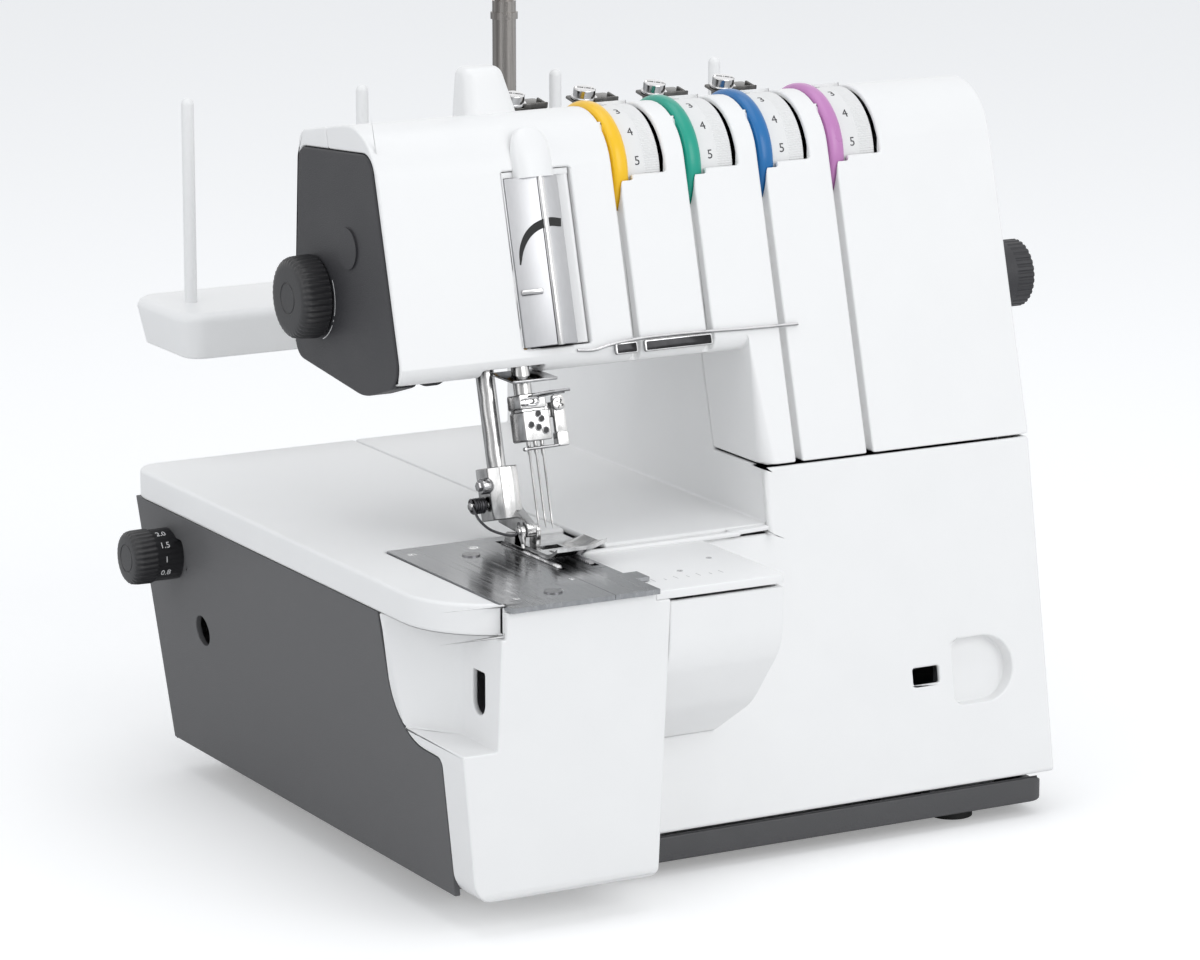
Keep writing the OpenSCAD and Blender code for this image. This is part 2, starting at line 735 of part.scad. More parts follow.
module bed_front_cover() {
    color("white") difference() {
        union() {
            difference() {
                block_solid(0);
                block_solid(wall);
                box([bed_left, pocket_y - 2, 0], [block_right - wall, pocket_y + 10, 200]);
            }
            intersection() {
                block_solid(0);
                pocket_solid(wall);
            }
        }
        pocket_solid(0);
        // Room for the feed teeth, the needles and the plate screw.
        box([feed_x[0] - 4, feed_y0 - 8, skirt_z + 20], [feed_x[1] + 4, pocket_y + 10, bed_h]);
        rod_z([plate_x0 + 26, plate_y0 + 16, bed_h - 12], 2.1, 12);
        // Seat of the ruler table.
        box([plate_x1 + 0.2, block_y - 20, table_z - table_t], [block_right + 1, pocket_y + 10, bed_h + 1]);
        // Room for the bed cover and its band.
        along_z(band_z, bed_h + 1, [[bed_left - 5, block_y - 20, 0], [plate_x0 - 0.4, block_y - 20, 0],
            [plate_x0 - 0.4, plate_y1, 0], [bed_left - 5, plate_y1, 0]]);
        // Room for the grey side panel.
        intersection() {
            side_strip(-5, wall + 0.2, 0, band_z + 5);
            along_x(bed_left - 5, bed_left + 40, inset(side_c, -0.4));
        }
        // Finger slot in the pocket's wall.
        on_pocket_wall() linear_extrude(wall + 2) union() {
            translate([-5, 0]) square([10, 12]);
            circle(r = 5);
        }
    }
}
module on_pocket_wall() {
    translate([pocket_x1 - 1, block_y + 20, 92]) rotate([90, 0, 90]) children();
}

// Table with the seam guide lines, right of the plates.
module ruler_table() {
    color("white") difference() {
        union() {
            box([plate_x1 + gap, table_y0, table_z - table_t], [table_x1, table_y1, table_z]);
            // Tongue under the throat floor.
            box([plate_x1 + 20, table_y1 - 4, table_z - table_t], [table_x1 - 4, table_y1 + 10, bed_h - wall]);
            // Low rail along the back of the table.
            box([plate_x1 + 4, table_y1 - 4, table_z - eps], [table_x1 + 18, table_y1 - 1.5, table_z + 1.6]);
        }
        // Distance marks.
        for (k = [0:6])
            box([plate_x1 + 8 + k * 5, table_y0 + 14, table_z - 0.3],
                [plate_x1 + 8.4 + k * 5, table_y0 + (k % 2 == 0 ? 18 : 16.5), table_z + 1]);
        rod_z([table_x1 - 28, table_y0 + 26, table_z - 2], 1.6, 5);
    }
}

// Needle plate with slots for the feed teeth and the needles.
feed_x = [needle_x - 7.8, needle_x + 6.3];
tooth_w = 2.2;
feed_travel = 2.5;
feed_y0 = needle_y - 23;
feed_y1 = needle_y + 24;
slide_plate_y = feed_y0 - 7;
module needle_plate() {
    z0 = bed_h - plate_t;
    color("#9b9a99") difference() {
        along_z(z0, bed_h, [[plate_x0, plate_y0, 1], [plate_x0 + plate_w, plate_y0, 0],
            [plate_x0 + plate_w, slide_plate_y, 0], [plate_x1, slide_plate_y, 0],
            [plate_x1, plate_y1, 1], [plate_x0, plate_y1, 1]]);
        for (x = feed_x)
            box([x - tooth_w / 2 - gap, feed_y0 - feed_travel - gap - 0.5, z0 - 1],
                [x + tooth_w / 2 + gap, feed_y1 + feed_travel + gap + 0.5, bed_h + 1]);
        // Needle slot, long enough for the needles' slope.
        box([needle_x - needle_pitch - 1.2, needle_y - 3, z0 - 1],
            [needle_x + needle_pitch + 1.2, needle_y + 2.5, bed_h + 1]);
        for (y = [plate_y0 + 16, plate_y1 - 22])
            rod_z([plate_x0 + 26, y, z0 - 1], 2.1, 5);
    }
}

module slide_plate() {
    z0 = bed_h - plate_t;
    color("#9b9a99") union() {
        box([plate_x0 + plate_w + 0.2, plate_y0, z0], [plate_x1, slide_plate_y - 0.2, bed_h]);
        box([plate_x1 - eps, slide_plate_y - 22, z0 + 0.4], [plate_x1 + 6, slide_plate_y - 12, bed_h]);
    }
}

// Dark tray that closes the underside.
tray_x0 = side_x(skirt_z) + 16;
module base_tray() {
    color("#48484b") difference() {
        union() {
            along_z(foot_h, tray_top - 0.5, [[block_right + 3, front_y + 1, 4], [tower_right - 3, front_y + 1, 8],
                [tower_right - 3, back_y - 5, 8], [tray_x0, back_y - 11, 6], [tray_x0, pocket_y + 3, 4],
                [block_right + 3, pocket_y + 3, 0]]);
        }
        along_z(foot_h + wall, tray_top + 1, [[block_right + 7, front_y + 5, 3],
            [tower_right - 7, front_y + 5, 6], [tower_right - 7, back_y - 10, 6],
            [tray_x0 + 4, back_y - 15, 4], [tray_x0 + 4, pocket_y + 7, 4], [block_right + 7, pocket_y + 7, 0]]);
        // Ventilation slots.
        for (k = [0:7]) box([30 + k * 9, 60, foot_h - 1], [34 + k * 9, 96, foot_h + 5]);
        for (p = foot_p) rod_z([p[0], p[1], foot_h - 1], 3, 10);
        // The front edge slopes inward, for the cover's fold.
        along_x(block_right, tower_right + 5, [[front_y + 2, tray_top + 1, 0], [front_y + 2, tray_top - 1, 0],
            [front_y + 5, tray_top - 2.6, 0], [front_y + 9, tray_top - 3.9, 0],
            [front_y + 19.5, tray_top - 3.9, 0], [front_y + 19.5, tray_top + 1, 0]]);
    }
}

// Feet with a stem that plugs into the tray.
foot_p = [[tray_x0 + 16, back_y - 26], [tower_right - 22, back_y - 26], [tower_right - 38, front_y + 20],
          [block_right + 22, front_y + 20], [tray_x0 + 18, pocket_y + 16]];
module rubber_feet() {
    color("#222222") for (p = foot_p) {
        rod_z([p[0], p[1], 0], 9, foot_h);
        rod_z([p[0], p[1], foot_h], 3, wall);
    }
}

// Cast frame: floor, column, arm beam, and the head block with its bores.
module frame_casting() {
    z0 = tray_top;
    color("#b9bbbd") difference() {
        union() {
            box([tray_x0 + 8, pocket_y + 8, foot_h + wall], [tower_right - 14, back_y - 16, z0 + 3]);
            // Column in the tower.
            box([22, -34, z0], [64, 8, arm_z + 30]);
            // Beam through the arm.
            box([presser_x - 9, -26, arm_z + 5], [64, -2, arm_z + 40]);
            // Head block.
            on_face() box([presser_x - 9, 22, face_s(arm_z + 5, 44)], [needle_x + 3.5, 44, bush_s[1] + bush_l]);
            on_face() box([presser_x - 9, 40, face_s(arm_z + 5, 64)], [needle_x + 3.5, 64, bush_s[1] + bush_l]);
            for (s = bush_s) on_face() head_lug(s);
            // Pillars under the needle plate, and bearings of the main shaft.
            for (x = [plate_x0 + 17, plate_x0 + 36]) box([x, plate_y1 - 14, z0], [x + 8, plate_y1 - 2, bed_h - plate_t]);
            for (x = main_bearing_x) box([x, main_y - 12, z0], [x + 12, main_y + 12, main_z + 12]);
            for (x = arm_bearing_x) box([x, arm_shaft_y - 10, arm_z + 8], [x + 10, -20, arm_shaft_z + 11]);
            // Guide of the feed carrier, and bearings of the looper shaft.
            box([needle_x - 8, main_y - 8, z0], [needle_x + 8, main_y + 8, feed_rod_z + 8]);
            // Motor bracket.
            box([30, motor_y - 20, z0], [34, motor_y + 20, motor_z - motor_d / 2 + 4]);
            // Lugs of the tension studs.
            each_channel() {
                box([stud_x - 1.5, dial_y - 6, arm_z + 36], [stud_x + 1.5, -20, arm_z + 40]);
                box([stud_x - 1.5, dial_y - 6, arm_z + 36], [stud_x + 1.5, dial_y + 6, dial_z + 6]);
            }
        }
        for (s = bush_s) on_face() {
            rod_z([needle_x, bar_depth, s - 1], needle_bar_d / 2 + 1.4, bush_l + 2);
            rod_z([presser_x, presser_depth, s - 1], presser_bar_d / 2 + 1.4, bush_l + 2);
        }
        rod_x([main_bearing_x[0] - 1, main_y, main_z], shaft_d / 2 + 2, tower_w + 80);
        rod_x([arm_bearing_x[0] - 1, arm_shaft_y, arm_shaft_z], shaft_d / 2 + 2, tower_w + 60);
        feed_bearing_cut();
        // Flat in front of the needle bar's bushes.
        on_face() box([needle_x - 9, -5, bush_s[0] - 1], [needle_x + 9, bush_front + 0.4, bush_s[1] + bush_l + 1]);
        each_channel() rod_x([stud_x - 2, dial_y, dial_z], stud_d / 2, 4);
    }
}
// Lug that carries the bushes of both bars.
module head_lug(s) {
    box([presser_x - 7, presser_depth - 4, s], [presser_x + 6.5, 24, s + bush_l]);
    box([needle_x - 5.6, bar_depth, s], [needle_x + 6, 24, s + bush_l]);
    rod_z([needle_x, bar_depth, s], needle_bar_d / 2 + 2.2, bush_l);
}
main_bearing_x = [needle_x + 22, 8, tower_right - 19];
arm_bearing_x = [needle_x + 30, 8];

// Bronze bushes pressed into the casting.
module shaft_bushes() {
    color("#b08d57") {
        for (s = bush_s) on_face() {
            ring_z([needle_x, bar_depth, s], needle_bar_d / 2 + run, needle_bar_d / 2 + 1.4, bush_l);
            ring_z([presser_x, presser_depth, s], presser_bar_d / 2 + run, presser_bar_d / 2 + 1.4, bush_l);
        }
        for (x = main_bearing_x) ring_x([x, main_y, main_z], shaft_d / 2 + run, shaft_d / 2 + 2, 12);
        for (x = arm_bearing_x) ring_x([x, arm_shaft_y, arm_shaft_z], shaft_d / 2 + run, shaft_d / 2 + 2, 10);
    }
}
module ring_z(p, r0, r1, l) {
    difference() {
        rod_z(p, r1, l);
        rod_z(p - [0, 0, 1], r0, l + 2);
    }
}
module ring_x(p, r0, r1, l) {
    difference() {
        rod_x(p, r1, l);
        rod_x(p - [1, 0, 0], r0, l + 2);
    }
}
module ring_y(p, r0, r1, l) {
    difference() {
        rod_y(p, r1, l);
        rod_y(p - [0, 1, 0], r0, l + 2);
    }
}

// Main shaft with the handwheel, arm shaft, timing belt and motor drive.
module main_shaft() {
    x0 = main_bearing_x[0] - 6;
    color("#a8a9ab") {
        rod_x([x0, main_y, main_z], shaft_d / 2, handwheel_x + 10 - x0);
        ring_x([timing_x, main_y, main_z], shaft_d / 2 - eps, timing_r, belt_w);
        ring_x([belt_x, main_y, main_z], shaft_d / 2 - eps, shaft_pulley_r, belt_w);
        // Feed eccentric.
        translate([main_bearing_x[0] + 18, main_y + 3, main_z]) rotate([0, 90, 0]) cylinder(r = 12, h = 8);
    }
}
module handwheel() {
    color("white") difference() {
        union() {
            rod_x([handwheel_x, main_y, main_z], handwheel_r, 12);
            rod_x([handwheel_x + 12, main_y, main_z], handwheel_r - 6, 5);
        }
        rod_x([handwheel_x - 1, main_y, main_z], shaft_d / 2, 11);
        rod_x([handwheel_x - 1, main_y, main_z], handwheel_r - 5, 5);
        for (k = [0:23])
            translate([handwheel_x - 1, main_y, main_z]) rotate([k * 15, 0, 0])
                rod_x([0, 0, handwheel_r + 1.2], 2.2, 14);
    }
}
module arm_shaft() {
    x0 = arm_bearing_x[0] - 14;
    color("#a8a9ab") {
        rod_x([x0, arm_shaft_y, arm_shaft_z], shaft_d / 2, timing_x + belt_w + 6 - x0);
        ring_x([timing_x, arm_shaft_y, arm_shaft_z], shaft_d / 2 - eps, timing_r, belt_w);
        // Needle bar crank.
        rod_x([x0, arm_shaft_y, arm_shaft_z], 11, 6);
        rod_x([x0 - 6, arm_shaft_y, arm_shaft_z + 6.5], 3, 6 + eps);
    }
}
module motor() {
    color("#55575a") difference() {
        union() {
            rod_x([34, motor_y, motor_z], motor_d / 2, motor_l - 6);
            box([36, motor_y - 8, tray_top + 3], [96, motor_y + 8, motor_z - motor_d / 2 + 4]);
        }
        rod_x([30, motor_y, motor_z], 9, 4 + 6);
        rod_x([34 + motor_l - 16, motor_y, motor_z], 3 + run, 12);
    }
}
module motor_pulley() {
    x0 = 34 + motor_l - 12;
    color("#c9cacc") {
        rod_x([x0, motor_y, motor_z], 3, belt_x + belt_w + 2 - x0);
        ring_x([belt_x, motor_y, motor_z], 3 - eps, motor_pulley_r, belt_w);
    }
}

// Flat loop around two pulleys: p, q = [y, z, r].
function loop_points(p, q, g) =
    let (d = flat(q) - flat(p), a = atan2(d[1], d[0]), b = acos((p[2] - q[2]) / norm(d)), n = 24)
    concat([for (k = [0:n]) flat(q) + (q[2] + g) * [cos(a - b + 2 * b * k / n), sin(a - b + 2 * b * k / n)]],
           [for (k = [0:n]) let (t = a + b + (360 - 2 * b) * k / n) flat(p) + (p[2] + g) * [cos(t), sin(t)]]);
module belt(x, p, q) {
    translate([x, 0, 0]) rotate([90, 0, 90]) linear_extrude(belt_w - 1) difference() {
        polygon(loop_points(p, q, 0.35 + belt_t));
        polygon(loop_points(p, q, 0.35));
    }
}
module drive_belts() {
    color("#1d1d1f") {
        belt(timing_x + 0.5, [main_y, main_z, timing_r], [arm_shaft_y, arm_shaft_z, timing_r]);
        belt(belt_x + 0.5, [main_y, main_z, shaft_pulley_r], [motor_y, motor_z, motor_pulley_r]);
    }
}

// Spool stand with its pins, and the telescopic mast of the thread guide bar.
module spool_stand() {
    color("white") difference() {
        union() {
            intersection() {
                along_z(stand_z - stand_t, stand_z, [[stand_x - stand_w / 2, stand_y - stand_d / 2, 10],
                    [stand_x + stand_w / 2, stand_y - stand_d / 2, 10],
                    [stand_x + stand_w / 2, stand_y + stand_d / 2, 10],
                    [stand_x - stand_w / 2, stand_y + stand_d / 2, 10]]);
                along_x(-400, 400, [[stand_y - stand_d / 2 + 3, stand_z - stand_t, 2],
                    [stand_y + stand_d / 2 - 3, stand_z - stand_t, 2],
                    [stand_y + stand_d / 2, stand_z, 4], [stand_y - stand_d / 2, stand_z, 4]]);
            }
            // Two brackets that seat on the tower's back.
            for (x = [tower_left + 8, tower_right - 30])
                box([x, back_y, stand_z - stand_t + 3], [x + 22, stand_y - stand_d / 2 + 6, stand_z - 5]);
        }
        along_z(stand_z - stand_t - 1, stand_z - 4, [[stand_x - stand_w / 2 + 4, stand_y - stand_d / 2 + 7, 6],
            [stand_x + stand_w / 2 - 4, stand_y - stand_d / 2 + 7, 6],
            [stand_x + stand_w / 2 - 4, stand_y + stand_d / 2 - 7, 6],
            [stand_x - stand_w / 2 + 4, stand_y + stand_d / 2 - 7, 6]]);
        for (x = pin_x) rod_z([x, stand_y, stand_z - 10], pin_stem_d / 2, 20);
        rod_z([stand_x, stand_y, stand_z - 10], mast_d / 2, 20);
    }
}
module spool_pins() {
    color("white") for (x = pin_x) {
        rod_z([x, stand_y, stand_z - 4], pin_stem_d / 2, 5);
        rod_z([x, stand_y, stand_z], pin_d / 2, pin_h - pin_d / 2);
        translate([x, stand_y, stand_z + pin_h - pin_d / 2]) sphere(r = pin_d / 2);
    }
}
module mast_tube() {
    color("#77736c") union() {
        ring_z([stand_x, stand_y, stand_z - 4], mast_in_d / 2, mast_d / 2, mast_low_h + 4);
        ring_z([stand_x, stand_y, stand_z + mast_low_h - 8], mast_d / 2 - eps, mast_d / 2 + 0.8, 3);
    }
}
module mast_rod() {
    z0 = stand_z + mast_low_h - 30;
    color("#9a958c") rod_z([stand_x, stand_y, z0], rod_d / 2, guide_z - z0);
}
module thread_guide_bar() {
    color("#c9cacc") difference() {
        union() {
            along_z(guide_z, guide_z + 3, [[stand_x - guide_w / 2, guide_y - 6, 5],
                [stand_x + guide_w / 2, guide_y - 6, 5], [stand_x + guide_w / 2, guide_y + 6, 5],
                [stand_x - guide_w / 2, guide_y + 6, 5]]);
            // Tongue to the mast.
            along_z(guide_z, guide_z + 3, [[stand_x - 8, stand_y - 8, 7.9], [stand_x + 8, stand_y - 8, 7.9],
                [stand_x + 8, guide_y, 0], [stand_x - 8, guide_y, 0]]);
            rod_z([stand_x, stand_y, guide_z + 3], 6, 4);
            for (x = eyelet_x) ring_z([x, guide_y - 1, guide_z - 3], 2.6, 4, 8);
        }
        for (x = eyelet_x) {
            rod_z([x, guide_y - 1, guide_z - 4], 2.6, 12);
            // Thread entry cut into each eyelet.
            box([x - 0.6, guide_y - 11, guide_z - 4], [x + 0.6, guide_y - 1, guide_z + 8]);
        }
    }
}

// Sockets, switch and lamp.
inlet_y = back_y - 34;
inlet_z = 34;
switch_z = 62;
module inlet_cut() {
    box([tower_right - 10, inlet_y - 14, inlet_z - 10], [tower_right + 5, inlet_y + 14, inlet_z + 10]);
}
module switch_cut() {
    box([tower_right - 10, inlet_y - 8, switch_z - 10], [tower_right + 5, inlet_y + 8, switch_z + 10]);
}
lamp_x = tower_left - 62;
lamp_y = -36;
module lamp_cut() {
    box([lamp_x - 16, lamp_y - 7, arm_z - 5], [lamp_x + 16, lamp_y + 7, arm_z + 8]);
}
module power_inlet() {
    color("#1c1c1e") {
        difference() {
            union() {
                box([tower_right - 16, inlet_y - 14, inlet_z - 10], [tower_right, inlet_y + 14, inlet_z + 10]);
                box([tower_right, inlet_y - 16, inlet_z - 12], [tower_right + 1, inlet_y + 16, inlet_z + 12]);
            }
            box([tower_right - 13, inlet_y - 11, inlet_z - 7], [tower_right + 2, inlet_y + 11, inlet_z + 7]);
        }
        for (k = [-1:1]) rod_x([tower_right - 13, inlet_y + 6 * k, inlet_z], 1.2, 8);
    }
}
module power_switch() {
    color("#1c1c1e") intersection() {
        rod_y([tower_right - 6, inlet_y - 7, switch_z], 9, 14);
        box([tower_right - 9, inlet_y - 8, switch_z - 7], [tower_right + 4, inlet_y + 8, switch_z + 7]);
    }
}
module lamp_lens() {
    color("#f4f6fa") union() {
        box([lamp_x - 15.9, lamp_y - 6.9, arm_z - 1], [lamp_x + 15.9, lamp_y + 6.9, arm_z + wall]);
        box([lamp_x - 18, lamp_y - 9, arm_z + wall], [lamp_x + 18, lamp_y + 9, arm_z + 5]);
    }
}

// Guides for the looper thread, behind the front cover.
module lower_thread_guides() {
    y = front_y + 34;
    color("#c9cacc") difference() {
        union() {
            box([-30, y, 62], [70, y + 1.5, 96]);
            for (x = [-26, 58]) box([x, y, tray_top + 3], [x + 8, y + 1.5, 62]);
            for (x = [-26, 58]) box([x, y, tray_top + 3], [x + 8, y + 10, tray_top + 4.5]);
        }
        for (x = [-20, 10, 40, 62]) rod_y([x, y - 1, 84], 1.6, 4);
        box([-8, y - 1, 68], [48, y + 3, 74]);
    }
}

// One tension unit at each channel: stud, two discs, spring, dial and ring.
module tension_studs() {
    each_channel() color("#c9cacc") {
        rod_x([stud_x - 1.5, dial_y, dial_z], stud_d / 2, ring_w + dial_w + 13);
        ring_x([-3.4, dial_y, dial_z], stud_d / 2, 11, 1);
        ring_x([-4.6, dial_y, dial_z], stud_d / 2, 11, 1);
    }
}
module tension_springs() {
    each_channel() color("silver")
        ring_x([stud_x + 1.5, dial_y, dial_z], stud_d / 2 + 0.4, stud_d / 2 + 1.8, -stud_x - 6.1);
}
module dial(i) {
    translate([channel_x0 + i * dial_pitch + dial_x, dial_y, dial_z]) color("#f2f2f2") difference() {
        rod_x([0, 0, 0], dial_r, dial_w);
        rod_x([-1, 0, 0], stud_d / 2 + run, dial_w + 2);
        rod_x([2, 0, 0], dial_r - 3, 2);
        // Ribs on the right half of the rim.
        for (k = [0:39]) rotate([k * 9, 0, 0]) rod_x([dial_w / 2, 0, dial_r + 0.2], 0.6, dial_w);
    }
}
module dial_1() { dial(0); }
module dial_2() { dial(1); }
module dial_3() { dial(2); }
module dial_4() { dial(3); }
module dial_ring(i, c) {
    color(c) translate([channel_x0 + i * dial_pitch + ring_x, dial_y, dial_z]) difference() {
        union() {
            rod_x([0.8, 0, 0], ring_r, ring_w - 1.6);
            rod_x([0, 0, 0], ring_r - 0.7, ring_w);
        }
        rod_x([-1, 0, 0], dial_r - 6, ring_w + 2);
    }
}
module dial_ring_1() { dial_ring(0, "#f2b90a"); }
module dial_ring_2() { dial_ring(1, "#16a085"); }
module dial_ring_3() { dial_ring(2, "#1f78c8"); }
module dial_ring_4() { dial_ring(3, "#c08bd0"); }

// Needle bar with its clamp and three needles.
module needle_bar() {
    color("#c4c5c7") on_face()
        rod_z([needle_x, bar_depth, clamp_s + 8], needle_bar_d / 2, bar_top_s - clamp_s - 8);
}
module needle_clamp() {
    s0 = clamp_s;
    s1 = clamp_s + clamp_h;
    color("#b4b5b7") on_face() {
        difference() {
            union() {
                box([needle_x - 5.8, -2.5, s0], [needle_x + 6.2, bar_depth + 3, s1]);
                rod_z([needle_x, bar_depth, s0 + 8], needle_bar_d / 2 + 1.2, clamp_h - 8);
                // Arm on the right with the thread guide wire.
                box([needle_x + 6.2, -1, s0 + 8], [needle_x + 12, 1.2, s1]);
                box([needle_x + 8, -3, s0 - 3.4], [needle_x + 13, 1.2, s0 + 8]);
                box([needle_x - 2, -4.5, s1 - 1.2], [needle_x + 16, 1.2, s1]);
                rod_x([needle_x - 6, -2, s0 - 2.6], 0.6, 14.5);
            }
            rod_z([needle_x, bar_depth, s0 + 8], needle_bar_d / 2, clamp_h);
            for (k = [-1:1]) rod_z([needle_x + k * needle_pitch, needle_depth, s0 - 1], 0.8, 6.5);
            for (p = clamp_holes) rod_y([needle_x + p[0], -3, s0 + p[1]], 1.1, 3);
        }
        // Screw head of the arm.
        rod_y([needle_x + 9.4, -3.4, s1 - 4.4], 2.6, 2.4);
    }
}
clamp_holes = [[-2.8, 6.6], [0.4, 5.2], [3.4, 3.8], [1.4, 9], [0.6, 11.8]];
module needles() {
    color("#dcdde0") on_face() for (k = [-1:1])
        translate([needle_x + k * needle_pitch, needle_depth, point_s + (1 - k) * 0.5]) {
            cylinder(r1 = 0.08, r2 = 0.45, h = 3.5);
            translate([0, 0, 3.5]) cylinder(r = 0.45, h = needle_l - 9.5);
            translate([0, 0, needle_l - 6]) cylinder(r = 0.8, h = 11 - (1 - k) * 0.5);
        }
}

// Presser bar with its foot.
holder_x0 = presser_x - 5;
holder_x1 = presser_x + 6.2;
holder_s0 = face_s(bed_h + 11.5, 14);
holder_s1 = face_s(bed_h + 30.6, presser_depth);
module presser_bar() {
    color("#a9abad") on_face()
        rod_z([presser_x, presser_depth, holder_s1 - 9], presser_bar_d / 2, 114 - holder_s1 + 9);
}
lug_x0 = presser_x + 3;
lug_w = 4;
module foot_holder() {
    color("#a9abad") difference() {
        union() {
            on_face() translate([0, 0, holder_s0]) linear_extrude(holder_s1 - holder_s0)
                polygon([[holder_x0, 30], [holder_x0, 16.5], [holder_x0 + 3.4, 11.9],
                    [holder_x1, 11.9], [holder_x1, 30]]);
            along_x(lug_x0, lug_x0 + lug_w, [[foot_hinge_y - 3, foot_hinge_z - 2.6, 2],
                [foot_hinge_y + 22, foot_hinge_z - 1, 1], [foot_hinge_y + 20, foot_hinge_z + 9, 0],
                [foot_hinge_y + 12, foot_hinge_z + 9, 0], [foot_hinge_y - 3, foot_hinge_z + 2.6, 2]]);
            // Clamping screw.
            on_face() rod_x([holder_x0 - 3, presser_depth, holder_s1 - 7], 3, 3 + eps);
        }
        on_face() rod_z([presser_x, presser_depth, holder_s1 - 9], presser_bar_d / 2, 20);
        rod_x([lug_x0 - 1, foot_hinge_y, foot_hinge_z], 1.5 + run, lug_w + 2);
    }
}
ear_x = [lug_x0 - 0.3 - 2, lug_x0 + lug_w + 0.3];
foot_x0 = needle_x - 9.3;
foot_y0 = needle_y - 16;
foot_y1 = foot_y0 + foot_l - 7;
module presser_foot() {
    color("#c4c5c7") {
        difference() {
            union() {
                box([foot_x0, foot_y0, sole_z], [foot_x0 + foot_w, foot_y1, sole_z + 1.8]);
                for (x = ear_x) along_x(x, x + 2, [[foot_hinge_y - 2, sole_z + 1, 0],
                    [foot_hinge_y + 4, sole_z + 1, 0], [foot_hinge_y + 2.8, foot_hinge_z + 2.6, 2.5],
                    [foot_hinge_y - 2.8, foot_hinge_z + 2.6, 2.5]]);
                // Raised toes.
                translate([foot_x0, foot_y0 + 1, sole_z]) rotate([-32, 0, 0])
                    box([0, -5.5, 0], [foot_w, 0, 1.6]);
                // Raised wing on the right.
                translate([foot_x0 + foot_w - 1, foot_y0 + 4, sole_z]) rotate([0, -28, 0])
                    box([0, 0, 0], [7, 16, 1.5]);
            }
            box([needle_x - needle_pitch - 1.8, needle_y - 3.6, sole_z - 1],
                [needle_x + needle_pitch + 1.8, needle_y + 2.2, sole_z + 5]);
            for (x = [needle_x - 3.5, needle_x + 2.5]) box([x, foot_y0 - 12, sole_z - 1], [x + 1.2, foot_y0 + 8, sole_z + 9]);
        }
        rod_x([ear_x[0] - 1, foot_hinge_y, foot_hinge_z], 1.5, ear_x[1] + 3 - ear_x[0] + 1);
    }
}
module foot_spring() {
    color("#3c3c3e") on_face() {
        ring_x([holder_x0 - 6, 21, holder_s0 + 6.5], 1.6, 3.4, 5.6);
        rod_x([holder_x0 - 7.2, 21, holder_s0 + 6.5], 1.5, 7.2);
    }
}

// Lever at the back of the head that lifts the presser bar.
lever_x = needle_x + 8;
lever_z = arm_z + 24;
lever_y = arm_back + 2;
module presser_lifter() {
    color("#3a3b3e") {
        rod_y([lever_x, lever_y - 8, lever_z], 4, 8 + eps);
        along_y(lever_y, lever_y + 6, [[lever_x - 7, lever_z - 46, 5], [lever_x + 7, lever_z - 46, 5],
            [lever_x + 7, lever_z + 7, 6], [lever_x - 7, lever_z + 7, 6]]);
    }
}

// Looper that swings across under the needles.
looper_y = face_up(bed_h - 12) + needle_depth / cos(lean_up) + 1;
looper_z = tray_top + 43;
looper_r = bed_h - 14 - looper_z;
module chain_looper() {
    color("#c4c5c7") {
        rod_y([needle_x, looper_y - 12, looper_z], 4, 50);
        rod_y([needle_x, looper_y, looper_z], 8, 6);
        along_y(looper_y, looper_y + 3.5, [[needle_x - 3.5, looper_z, 0], [needle_x + 3.5, looper_z, 0],
            [needle_x + 5, looper_z + looper_r - 14, 3], [needle_x + 5, looper_z + looper_r, 3],
            [needle_x - 15, looper_z + looper_r - 2, 0.6], [needle_x - 13, looper_z + looper_r - 4, 0],
            [needle_x - 1.5, looper_z + looper_r - 8, 3]]);
    }
}

// Feed teeth on their carrier.
feed_rod_z = bed_h - 22;
module feed_dogs() {
    z0 = bed_h - plate_t - 6;
    color("#8d8f92") {
        for (x = feed_x) {
            box([x - tooth_w / 2, feed_y0, z0], [x + tooth_w / 2, feed_y1, bed_h - 0.2]);
            for (k = [0:floor((feed_y1 - feed_y0) / 1.5) - 1])
                along_x(x - tooth_w / 2, x + tooth_w / 2, [[feed_y0 + k * 1.5, bed_h - 0.3, 0],
                    [feed_y0 + k * 1.5 + 1.4, bed_h - 0.3, 0], [feed_y0 + k * 1.5 + 1.2, bed_h + tooth_h, 0]]);
        }
        box([feed_x[0] - tooth_w / 2, feed_y1 - 6, feed_rod_z - 5], [feed_x[1] + tooth_w / 2, feed_y1, z0 + eps]);
        rod_y([needle_x, feed_y1 - eps, feed_rod_z], 4, 46);
    }
}
module feed_bearing_cut() {
    rod_y([needle_x, -90, feed_rod_z], 4 + run, 80);
}

// Dials on the bed's left side and on the right of the tower.
feed_y = front_y + 213;
feed_z = bed_h - 32;
hole_y = front_y + 191;
hole_z = 72;
module side_dial(x0, x1, r, n) {
    difference() {
        rod_x([x0, 0, 0], r, x1 - x0);
        for (k = [0:n - 1]) rotate([k * 360 / n, 0, 0]) rod_x([x0 - 1, 0, r + 0.3], 0.8, (x1 - x0) * 0.55);
        rod_x([x0 - 1, 0, 0], r - 4, 1.6);
    }
}
module feed_dial() {
    x1 = side_x(feed_z) - gap - 1;
    color("#2c2d30") translate([0, feed_y, feed_z]) {
        side_dial(bed_left - 16.5, x1, feed_dial_r, 30);
        rod_x([x1 - eps, 0, 0], 3.8, 16);
    }
}
length_y = front_y + 61;
length_z = arm_z + 16;
module stitch_length_dial() {
    color("#2c2d30") translate([0, length_y, length_z]) {
        mirror([1, 0, 0]) side_dial(-tower_right - 17, -tower_right - gap - 0.3, length_dial_r, 32);
        rod_x([tower_right - 10, 0, 0], 4.4, 11);
    }
}

